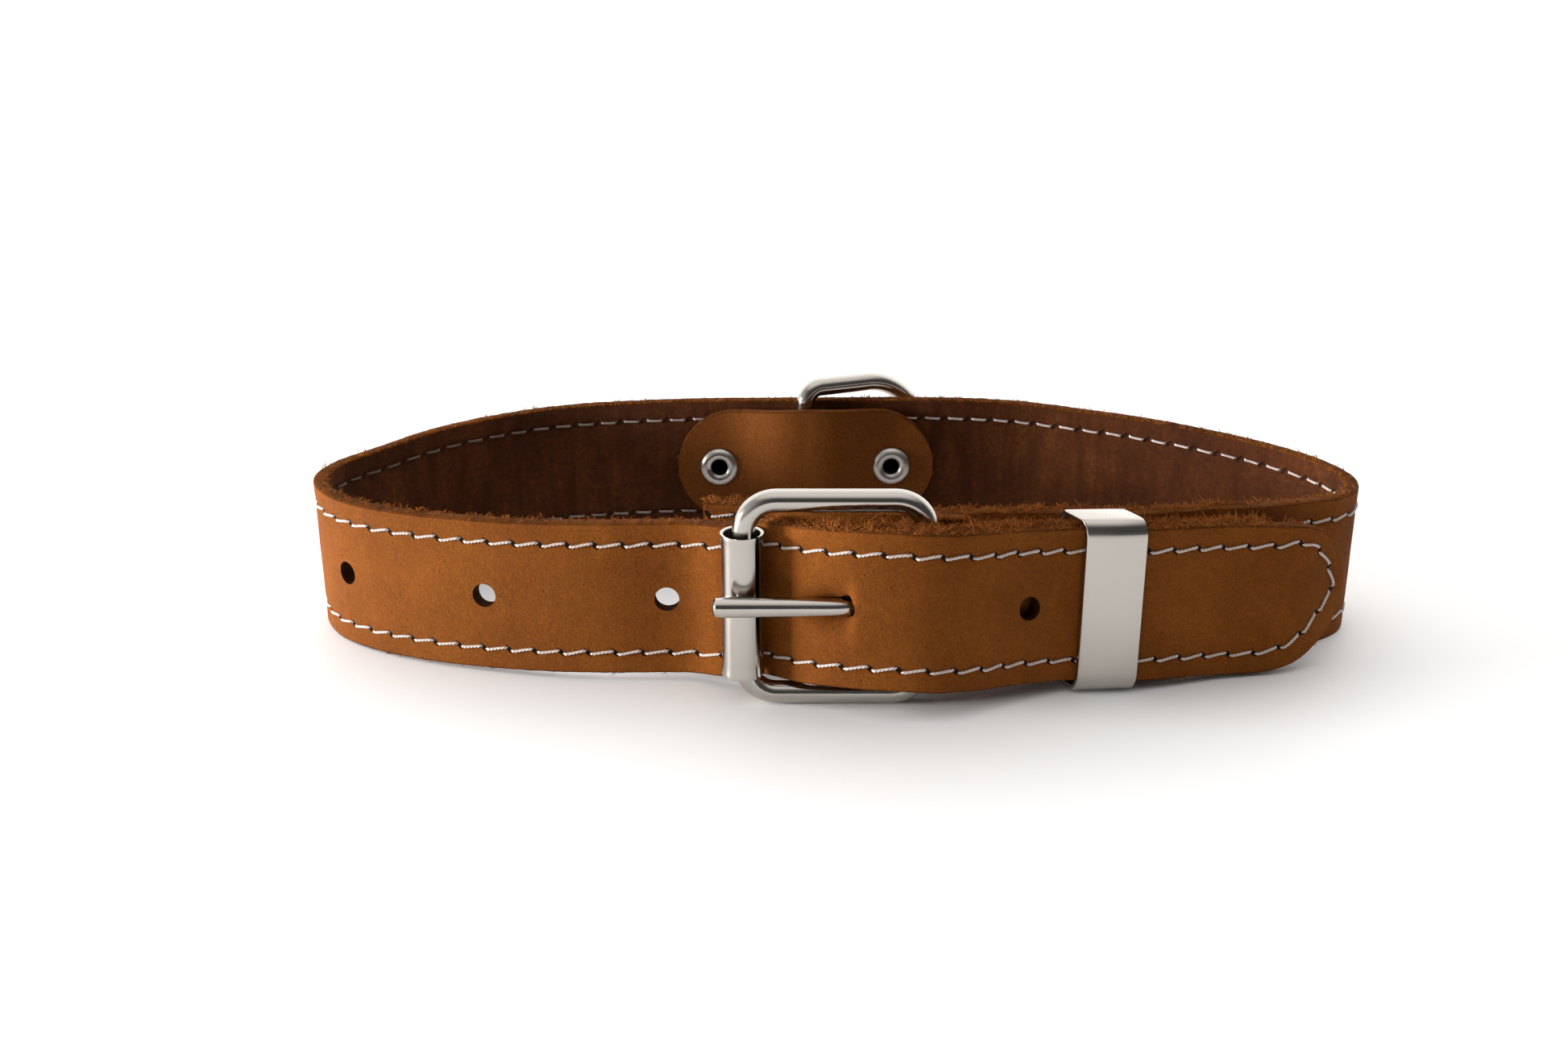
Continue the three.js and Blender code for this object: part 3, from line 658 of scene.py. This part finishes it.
def object_place(tree):
    return add(tree, "ShaderNodeTexCoord").outputs["Object"]


thread_mat, tree, shader = new_material("thread_white", Roughness=0.75, Sheen_Weight=0.3)
dirt = speckle(tree, object_place(tree), 900, 3)
dirt_and_shade_colour = blend(tree, dirt, (0.44, 0.355, 0.31, 1), (0.7, 0.62, 0.575, 1))
tree.links.new(dirt_and_shade_colour, shader.inputs["Base Color"])

# The thread inside is painted darker than outside, and darker still towards the left end: painted shade.
shaded_thread_mat, tree, shader = new_material("thread_inside_painted_shade", Roughness=0.85)
place = object_place(tree)
axes = add(tree, "ShaderNodeSeparateXYZ", {0: place})
# Painted shade: the colour darkens towards the left end, where the inside lies out of the light.
lit_share = ramp(tree, axes.outputs[0], -0.075, 0.03)
dirt_and_shade_colour = blend(tree, lit_share, (0.17, 0.115, 0.085, 1), (0.62, 0.53, 0.5, 1))
mottle = ramp(tree, speckle(tree, place, 500, 3), 0.3, 0.7, 0.7, 1.15)
tree.links.new(dim(tree, dirt_and_shade_colour, mottle), shader.inputs["Base Color"])

first = -int((seam_run + seam_apex) / stitch_pitch)
last = int((seam_run + seam["length"] - seam_apex) / stitch_pitch)
thread = random.Random(11)
ply_radius = 0.15
ply_offset = 0.105
ply_turns = 3.2


def ply(track, start):
    """One ply of a twisted thread along a track of places and sides in metres."""
    points = []
    for k, (place, side, out) in enumerate(track):
        angle = start + 2 * math.pi * ply_turns * k / (len(track) - 1)
        away = side * math.cos(angle) + out * math.sin(angle)
        points.append((place + away * ply_offset * 0.001, ply_radius))
    return points


def stitches(outside):
    """Two plies to a stitch, both ends of it sunk into the leather."""
    lift, tilt, margin = (0, 0.27, 0.26) if outside else (0.1, 0.05, 0.75)
    splines = []
    steps = 18
    for k in range(first, last):
        slant = tilt * thread.uniform(0.75, 1.2)
        wobble = thread.uniform(-0.06, 0.06)
        track = []
        for j in range(steps + 1):
            t = j / steps
            point, side = seam_at(k * stitch_pitch + margin + (stitch_pitch - 2 * margin) * t)
            across = slant * (2 * ease(t, 0, 1) - 1) + wobble * math.sin(math.pi * t)
            proud = min(1, math.sin(math.pi * t) * 3.2)
            flat = point + side * across
            flat.y = 0.42 * (1 - proud) - lift * proud
            if not outside:
                flat.y = strap_thick - flat.y
            here = put(strap_path, flat)
            up = put(strap_path, flat + side * 0.1) - here
            away = put(strap_path, flat + Vector((0, 0.1, 0))) - here
            track.append((here, up.normalized(), away.normalized()))
        start = thread.uniform(0, 6.28)
        splines += [ply(track, start), ply(track, start + math.pi)]
    return splines


for name, outside in (("stitches_outside", True), ("stitches_inside", False)):
    bm = wire_mesh(name, stitches(outside), resolution=1)
    thread_piece = finish_mesh(name, bm, [thread_mat if outside else shaded_thread_mat], 80)
    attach(thread_piece, "collar")

# Fibres of the cut edges
# The knife leaves loose fibres of leather along the cut edges of strap and chape. They
# stand in small tufts, densest at the flesh corner, and are longest near the buckle.
fibre_mat, tree, shader = new_material("loose_fibres", Roughness=0.95, Specular_IOR_Level=0.02)
tint = speckle(tree, object_place(tree), 260, 2)
brown = blend(tree, tint, (0.12, 0.036, 0.008, 1), (0.43, 0.15, 0.036, 1))
tree.links.new(brown, shader.inputs["Base Color"])
tuft = random.Random(5)


def on_table(place):
    """The place itself, or straight above it on the table top that presses the fibres up."""
    return Vector((place.x, place.y, max(place.z, 0.00004)))


def fibres(path, side, count, start, end, edges, thick, length=1.0):
    """Short curled fibres in tufts of four, rooted along the upper (side 1) or lower cut edge."""
    splines = []
    for _ in range(count // 4):
        spot = tuft.uniform(start, end)
        depth = thick * (1 - 0.95 * tuft.random() ** 2.2)
        tall = length * (0.35 + 0.65 * tuft.random() ** 1.3)
        if tuft.random() < 0.07:
            tall += 0.8 * tuft.random()
        sway = tuft.uniform(-0.8, 0.8)
        for _ in range(4):
            s = min(max(spot + tuft.gauss(0, 0.14), start), end)
            d = min(max(depth + tuft.gauss(0, 0.15), 0.15), thick)
            low, up = edges(s)
            lean_along = sway + tuft.uniform(-0.7, 0.7)
            lean = Vector((lean_along, tuft.uniform(-0.5, 0.9), side * tuft.uniform(0.4, 1.1)))
            lean = lean.normalized() * tall * tuft.uniform(0.6, 1.3)
            curl_along = tuft.uniform(-0.6, 0.6)
            curl = Vector((curl_along, tuft.uniform(-0.4, 0.4), tuft.uniform(-0.6, 0.1) * side)) * tall
            root = Vector((s, d, (up if side > 0 else low) - side * 0.12))
            radius = tuft.uniform(0.035, 0.07)
            splines.append([(on_table(put(path, root + lean * t + curl * t * t)), radius * share)
                            for t, share in ((0, 1), (0.4, 0.9), (0.75, 0.7), (1, 0.3))])
    return splines


edge_runs = (
    ("upper_edge_fibres", 1, 6400, 2, strap_end, 1.0),
    ("lower_edge_fibres", -1, 3200, 2, strap_end, 0.9),
    ("free_end_fibres", 1, 4800, 16, tongue_hole + 14, 1.7),
    ("flap_fibres", 1, 2800, strap_end - 90, strap_end, 1.25),
)
for name, side, count, start, end, length in edge_runs:
    tufts = fibres(strap_path, side, count, start, end, strap_edges, strap_thick, length)
    bm = wire_mesh(name, tufts, resolution=0)
    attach(finish_mesh(name, bm, [fibre_mat], 80), "collar")

# Chape
# A leather tab 23 mm wide, folded round the buckle's heel bar, with a slot for the
# tongue. Its outer ply runs on through the keeper, the inner one ends before it.
chape_width = 23.4
chape_half = chape_width / 2
chape_reach = 44
chape_offset = strap_thick + 1.5 * gap
inner_offset = chape_offset + 2 * chape_thick + 2 * gap
fold_radius = frame_wire / 2 + gap + chape_thick


def beside(x, offset):
    """A place of the chape's plan, at the offset behind the strap's outer face."""
    s = nearest(strap_path, x, 10, tongue_hole)
    point, normal = along(strap_path, s)
    return (*(point + normal * offset).xy, point.z)


def arc(x, z, wide, tall, start, turn, steps):
    """Points of an elliptic arc round (x, z), from the angle start through the turn."""
    angles = [start + k / steps * turn for k in range(steps + 1)]
    return [(x + wide * math.cos(a), z + tall * math.sin(a)) for a in angles]


def chape_edges(s):
    """The lower and the upper edge of the flat chape, the same all along it."""
    return -chape_half, chape_half


outer_stops = [chape_reach] + [keeper_reach + k * keeper_length for k in (0.85, 0.4, 0, -0.4, -0.7)]
outer_stops += [k * keeper_reach for k in (0.58, 0.44, 0.3)]
chape_rows = [beside(x, chape_offset) for x in outer_stops]
fold = arc(0, 0, fold_radius, fold_radius, -math.pi / 2, -math.pi, 10)
chape_rows += [(x, y, window_lift) for x, y in [*fold, (0.2 * frame_pitch, fold_radius)]]
chape_rows += [beside(k * keeper_reach, inner_offset) for k in (0.46, 0.62)]
chape_path = bend(chape_rows)
chape_end = chape_path["length"]
bm = slab([chape_end * k / 110 for k in range(111)], chape_edges, chape_thick, 26)
faces_and_rim(bm, chape_thick, 0, 1, 2)
for vert in bm.verts:
    s, d, z = vert.co
    edge = max(0, abs(z) - chape_half + 1)
    vert.co.y += 0.06 * noise.noise(Vector((s / 5, z / 5, 2)))
    vert.co.z += math.copysign(0.18 * noise.noise(Vector((s / 1.6, d, 4))) * edge, z)
# The chape's leather is cut from another place than the strap's, and has no seam.
store_uv(bm, "flat", lambda co: (co.x + 600, co.z))
store_uv(bm, "seam", lambda co: (0, 5))
for vert in bm.verts:
    vert.co = put(chape_path, vert.co)
slot_size = (2 * (loop_radius + tongue_root / 2 + 2 * gap), 8 * fold_radius, tongue_root + 4 * gap)
slot_place = Matrix.Translation(tongue_place(Vector((0, 0, 0))))
slot_scale = Matrix.Diagonal((*[0.001 * q for q in slot_size], 1))
slot_bm = bmesh.new()
bmesh.ops.create_cube(slot_bm, size=1, matrix=slot_place @ slot_scale)
bm = cut(bm, [slot_bm])
chape = finish_mesh("chape_leather", bm, leathers, 50)
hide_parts("chape")
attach(chape, "collar")
chape_tufts = fibres(chape_path, 1, 2400, 0, chape_end, chape_edges, chape_thick, 1.5)
chape_tufts += fibres(chape_path, -1, 500, 0, chape_end, chape_edges, chape_thick)
bm = wire_mesh("chape_edge_fibres", chape_tufts, resolution=0)
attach(finish_mesh("chape_edge_fibres", bm, [fibre_mat], 80), "collar")

# Buckle frame
# Round steel wire 3.5 mm thick, bent to a rounded rectangle, welded and nickel plated.
# Its right bar is the heel bar, which the chape and the tongue go round.
frame_corner = 4.9


def plate_look():
    """Polished nickel plate: faint smears and hairline scratches."""
    group = bpy.data.node_groups.new("PlateLook", "ShaderNodeTree")
    group.interface.new_socket("Place", in_out="INPUT", socket_type="NodeSocketVector")
    group.interface.new_socket("Roughness", in_out="OUTPUT", socket_type="NodeSocketFloat")
    group.interface.new_socket("Height", in_out="OUTPUT", socket_type="NodeSocketFloat")
    given = add(group, "NodeGroupInput").outputs[0]
    smear = speckle(group, given, 160, 4)
    stretched = add(group, "ShaderNodeMapping", {"Vector": given, "Scale": (2600, 2600, 140)}).outputs[0]
    hair = speckle(group, stretched, 1, 3)
    mixed = calc(group, "ADD", times(group, smear, 0.7), times(group, hair, 0.3))
    rough = ramp(group, mixed, 0.3, 0.7, 0.1, 0.21)
    height = calc(group, "ADD", smear, times(group, hair, 0.12))
    add(group, "NodeGroupOutput", {"Roughness": rough, "Height": height})
    return group


plate = plate_look()


def nickel(name, colour, bump, dull=1.0):
    material, tree, shader = new_material(name, Metallic=1.0, Base_Color=(*colour, 1))
    coat = add(tree, "ShaderNodeGroup", {0: object_place(tree)}, node_tree=plate).outputs
    relief = add(tree, "ShaderNodeBump", {"Strength": bump, "Distance": 0.00008, "Height": coat["Height"]})
    tree.links.new(times(tree, coat["Roughness"], dull), shader.inputs["Roughness"])
    tree.links.new(relief.outputs[0], shader.inputs["Normal"])
    return material


wire_plate = nickel("nickel_wire", (0.47, 0.44, 0.405), 0.35)


def dress(name, bm, material, nodes, body, angle=40):
    piece = finish_mesh(name, bm, [material], angle)
    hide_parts(*nodes)
    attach(piece, body)
    return piece


def rounded_loop(width, height, corner, steps=12, tall=0):
    """Rectangle with round corners, or elliptic ones where tall gives their height."""
    tall = tall or corner
    points = []
    for sx, sy, quarter in ((1, 1, 0), (-1, 1, 1), (-1, -1, 2), (1, -1, 3)):
        for k in range(steps + 1):
            angle = (quarter + k / steps) * math.pi / 2
            points.append((sx * (width / 2 - corner) + corner * math.cos(angle),
                           sy * (height / 2 - tall) + tall * math.sin(angle)))
    return points


frame_loop = rounded_loop(frame_pitch, frame_height - frame_wire, frame_corner)
frame_track = [((Vector((x - frame_pitch / 2, 0, z + frame_height / 2)) + heel) * 0.001, frame_wire / 2)
               for x, z in frame_loop]
bm = wire_mesh("frame", [frame_track], cyclic=True, resolution=8)
dress("buckle_frame_wire", bm, wire_plate, ["buckle_frame"], "collar")

# Roller
# A strip of sheet rolled to a tube round the frame's left bar. Its seam stays open
# on the right of the front, and its ends are very slightly flared.
roller_sheet = 0.55
roller_short = 2.3
roller_length = strap_width - roller_short
roller_drop = 0.9
roller_offset = 0.25
roller_outer = roller_diameter / 2
roller_low = (frame_height - roller_length) / 2 - roller_drop
gap_middle = -0.75
gap_angle = 0.26
sheet_plate = nickel("nickel_sheet", (0.48, 0.45, 0.415), 0.3, 1.15)
outer_flare = ((0, 0), (0.01, 0.04), (0.03, -0.02), (0.08, -0.1), (0.5, -0.1), (0.92, -0.1), (0.97, -0.02),
               (0.99, 0.04), (1, 0))
inner_flare = ((0.995, 0.1), (0.97, 0.04), (0.5, 0), (0.03, 0.04), (0.005, 0.1))
profile = [(roller_outer + flare, share * roller_length) for share, flare in outer_flare]
profile += [(roller_outer - roller_sheet + flare, share * roller_length) for share, flare in inner_flare]
bm = bmesh.new()
ring = [bm.verts.new((r, 0, z)) for r, z in profile]
ring_edges = [bm.edges.new((a, b)) for a, b in zip(ring, ring[1:] + ring[:1])]
bmesh.ops.rotate(bm, verts=bm.verts, matrix=Matrix.Rotation(gap_middle + gap_angle / 2, 3, "Z"))
bmesh.ops.spin(bm, geom=ring + ring_edges, cent=(0, 0, 0), axis=(0, 0, 1),
               angle=2 * math.pi - gap_angle, steps=72)
bmesh.ops.holes_fill(bm, edges=[e for e in bm.edges if e.is_boundary], sides=0)
centre = Vector((-frame_pitch - roller_offset, 0, roller_low)) + heel
bmesh.ops.translate(bm, verts=bm.verts, vec=centre)
bmesh.ops.scale(bm, verts=bm.verts, vec=(0.001,) * 3)
dress("roller_sheet", bm, sheet_plate, ["roller"], "collar", 50)

# Tongue
# Wire drawn a little thinner towards its root, looped round the heel bar; its rounded
# end lies over the roller.
loop_turn = [
    (Vector((loop_radius * math.cos(a), loop_radius * math.sin(a), 0)), tongue_root / 2)
    for a in (-math.pi / 2 + k / 40 * 1.72 * math.pi for k in range(1, 41))
]
nose_rows = ((-0.55, 0.35), (-0.5, 0.8), (-0.35, 1.2), (-0.1, 1.5))
nose = [(shank[0][0] + Vector((d, 0, 0)), r) for d, r in nose_rows]
tongue_track = [(tongue_place(p), r) for p, r in nose + shank[1:] + loop_turn]
bm = wire_mesh("tongue", [tongue_track], resolution=7)
dress("tongue_wire", bm, wire_plate, ["tongue"], "collar")

# Keeper
# A strip of nickel-plated sheet bent to a rounded loop round the free end and the
# chape. It has slid askew, its back further left than its front.
keeper_corner = 1.9
keeper_tall = 2.9
keeper_slide = 0.75
keeper_skew = 0.4
keeper_depth = 2 * keeper_sheet + 3.5 * gap + strap_thick + chape_thick
keeper_height = strap_width + 2 * keeper_sheet + 5 * gap
keeper_loop = rounded_loop(keeper_depth - keeper_sheet, keeper_height - keeper_sheet,
                           keeper_corner - keeper_sheet / 2, tall=keeper_tall)
round_edge = [(0.25, 0), (0.06, 0.08), (0, 0.26)]
back_edge = round_edge[::-1]
strip = []
for sx, sy, corner in ((1, -1, round_edge), (1, 1, back_edge), (-1, 1, round_edge), (-1, -1, back_edge)):
    strip += [(sx * (keeper_length / 2 - a), sy * (keeper_sheet / 2 - b)) for a, b in corner]
# The outline of the strip's section starts at its lower left.
strip = strip[-1:] + strip[:-1]
bm = bmesh.new()
count = len(keeper_loop)
loops = []
for k, (y, z) in enumerate(keeper_loop):
    run = Vector(keeper_loop[(k + 1) % count]) - Vector(keeper_loop[k - 1])
    out = Vector((run.y, -run.x)).normalized()
    verts = [bm.verts.new((x, y + out.x * h, z + out.y * h)) for x, h in strip]
    loops.append([bm.edges.new((p, q)) for p, q in zip(verts, verts[1:] + verts[:1])])
for k in range(count):
    bmesh.ops.bridge_loops(bm, edges=loops[k - 1] + loops[k])
bmesh.ops.recalc_face_normals(bm, faces=bm.faces)
skew = Matrix.Identity(4)
skew[0][1] = -keeper_skew
keeper_s = nearest(strap_path, keeper_reach, 10, tongue_hole)
face_point, _ = along(strap_path, keeper_s)
inset = keeper_depth / 2 - keeper_sheet - gap
keeper_x = keeper_slide - keeper_skew / 2 * keeper_depth - math.sin(keeper_turn) * inset
keeper_place = face_point + Vector((keeper_x, math.cos(keeper_turn) * inset, half)) + heel
keeper_matrix = Matrix.Scale(0.001, 4) @ Matrix.Translation(keeper_place)
keeper_matrix = keeper_matrix @ Matrix.Rotation(keeper_turn, 4, "Z") @ skew
bmesh.ops.transform(bm, verts=bm.verts, matrix=keeper_matrix)
dress("keeper_sheet", bm, sheet_plate, ["keeper"], "collar", 50)

# D-ring
# A D bent from 3.3 mm wire. Its straight bar stands between strap and patch, and the
# bow goes round the strap to the outside, where it has swung to the right.
ring_slack = 2.5
ring_depth = 21.5
ring_corner = 3.0
ring_height = strap_width + ring_slack + 2 * ring_wire
ring_half = (ring_height - ring_wire) / 2
ring_far = ring_depth + ring_wire
bow_start = 0.5 * ring_far
swing = math.radians(68)
ring_point, ring_in = along(strap_path, ring_s)
bar = ring_point + ring_in * (strap_thick + gap + ring_wire / 2)
ring_out = Vector((-ring_in.x * math.cos(swing) - ring_in.y * math.sin(swing),
                   -ring_in.y * math.cos(swing) + ring_in.x * math.sin(swing), 0))
corner_z = ring_half - ring_corner
quarter = math.pi / 2
ring_points = arc(ring_corner, corner_z, ring_corner, ring_corner, math.pi, -quarter, 8)
ring_points += arc(bow_start, 0, ring_far - bow_start, ring_half, quarter, -math.pi, 40)
ring_points += arc(ring_corner, -corner_z, ring_corner, ring_corner, -quarter, -quarter, 8)
ring_track = [((Vector((bar.x, bar.y, ring_height / 2 + z)) + ring_out * x + heel) * 0.001, ring_wire / 2)
              for x, z in ring_points]
bm = wire_mesh("ring", [ring_track], cyclic=True, resolution=8)
dress("d_ring_wire", bm, wire_plate, ["d_ring"], "d_ring")

# Patch
# A stadium of smooth leather, grain side to the dog, riveted over the D-ring's bar,
# over which it bulges.
patch_thick = 1.9
patch_inset = 1.8
patch_crown = 0.9
bulge = 0.27
patch_height = strap_width - 2 * patch_inset
patch_half = patch_length / 2
patch_radius = patch_height / 2
patch_rows = []
for k in (-1, -0.85, -0.6, -0.45, -0.33, -0.22, -0.11, 0, 0.11, 0.22, 0.33, 0.45, 0.6, 0.85, 1):
    point, normal = along(strap_path, ring_s + k * patch_half)
    hump = (k / bulge) ** 2
    rise = (ring_wire + gap) * math.exp(-hump) * (1 + hump) + strap_thick + gap
    patch_rows.append((*(point + normal * rise).xy, point.z))
patch_path = bend(patch_rows)
patch_run = patch_path["length"]


def patch_edges(s):
    """The lower and the upper edge of the flat patch, the upper one arched over the bar."""
    h = rounded(min(s, patch_run - s), patch_radius, patch_radius)
    crown = patch_crown * math.exp(-((s - patch_run / 2) / 9) ** 2)
    return patch_raise - h, patch_raise + h + crown


ends = [patch_radius * (1 - math.cos(math.pi / 2 * k / 16)) for k in range(16)]
middle = [patch_radius + (patch_run - 2 * patch_radius) * k / 40 for k in range(41)]
bm = slab(ends + middle + [patch_run - s for s in reversed(ends)], patch_edges, patch_thick, 30, 0.35)
faces_and_rim(bm, patch_thick, 1, 0, 2)
punches = []
for side in (-1, 1):
    point, _ = along(strap_path, ring_s + side * rivet_half)
    punches.append(drill(nearest(patch_path, point.x, 0, patch_run), patch_raise, rivet_drill, patch_thick))
bm = cut(bm, [join(punches)])
store_uv(bm, "flat", lambda co: (co.x + 800, co.z))
store_uv(bm, "seam", lambda co: (0, 5))
for vert in bm.verts:
    vert.co.y += 0.05 * noise.noise(Vector((vert.co.x / 6, vert.co.z / 6, 9)))
for vert in bm.verts:
    vert.co = put(patch_path, vert.co)
patch_skin = leather("patch_grain", (0.17, 0.052, 0.0075), (0.125, 0.036, 0.005), 2.2, 0.4, 0, 0.3, 0.02)
patch = finish_mesh("ring_patch_leather", bm, [patch_skin, flesh_skin, cut_skin, hole_shade_skin], 50)
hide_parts("ring_patch")
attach(patch, "collar")

# Rivets
# Nickel-plated tube rivets through strap and patch: a closed low head outside, and
# inside the tube's end rolled over to a domed flange round a blind hole painted near black as shade.
stack = strap_thick + gap + patch_thick
bore = 1.5
barrel = 1.9
rim = 3.6
dome = 0.8
rivet_plate = nickel("nickel_rivet", (0.5, 0.47, 0.44), 0.3, 2.1)
# The bore's inside is painted near black with a faint mottle: painted shade of the blind hole.
bore_shade_mat, tree, shader = new_material("rivet_bore_painted_shade", Metallic=0.6, Roughness=0.7)
shade_mottle = speckle(tree, object_place(tree), 700, 2)
painted_bore_colour = blend(tree, shade_mottle, (0.01, 0.009, 0.008, 1), (0.04, 0.035, 0.03, 1))
tree.links.new(painted_bore_colour, shader.inputs["Base Color"])
outline = [(0, -gap - dome)]
for k in range(1, 13):
    angle = math.pi / 2 * k / 12
    outline.append((rim * math.sin(angle), -gap - dome * math.cos(angle)))
outline += [(rim, -0.05), (barrel, -0.05), (barrel, stack + 0.05), (rim, stack + 0.05), (rim, stack + gap)]
for k in range(1, 13):
    share = k / 12
    rolled = dome * math.sin(math.pi * (0.05 + 0.82 * share))
    outline.append((rim - (rim - bore) * share, stack + gap + rolled))
outline += [(bore, stack + 0.3), (bore, 0), (0, 0)]
for name, side in (("rivet_left", -1), ("rivet_right", 1)):
    bm = bmesh.new()
    verts = [bm.verts.new((r, 0, h)) for r, h in outline]
    edges = [bm.edges.new((a, b)) for a, b in zip(verts, verts[1:])]
    bmesh.ops.spin(bm, geom=verts + edges, cent=(0, 0, 0), axis=(0, 0, 1),
                   angle=2 * math.pi, steps=48, use_merge=True)
    bmesh.ops.remove_doubles(bm, verts=bm.verts, dist=1e-4)
    for face in bm.faces:
        centre = face.calc_center_median()
        # Faces inside the bore get the second slot, which holds the painted shade.
        face.material_index = int(centre.xy.length < bore + 0.01 and centre.z > -0.01)
    point, normal = along(strap_path, ring_s + side * rivet_half)
    up = Vector((0, 0, 1))
    turn = Matrix((normal.cross(up), up, normal)).transposed().to_4x4()
    place = point + Vector((0, 0, half + patch_raise)) + heel
    rivet_matrix = Matrix.Scale(0.001, 4) @ Matrix.Translation(place) @ turn
    bmesh.ops.transform(bm, verts=bm.verts, matrix=rivet_matrix)
    rivet = dress(name + "_tube", bm, rivet_plate, [name], "collar", 60)
    rivet.data.materials.append(bore_shade_mat)
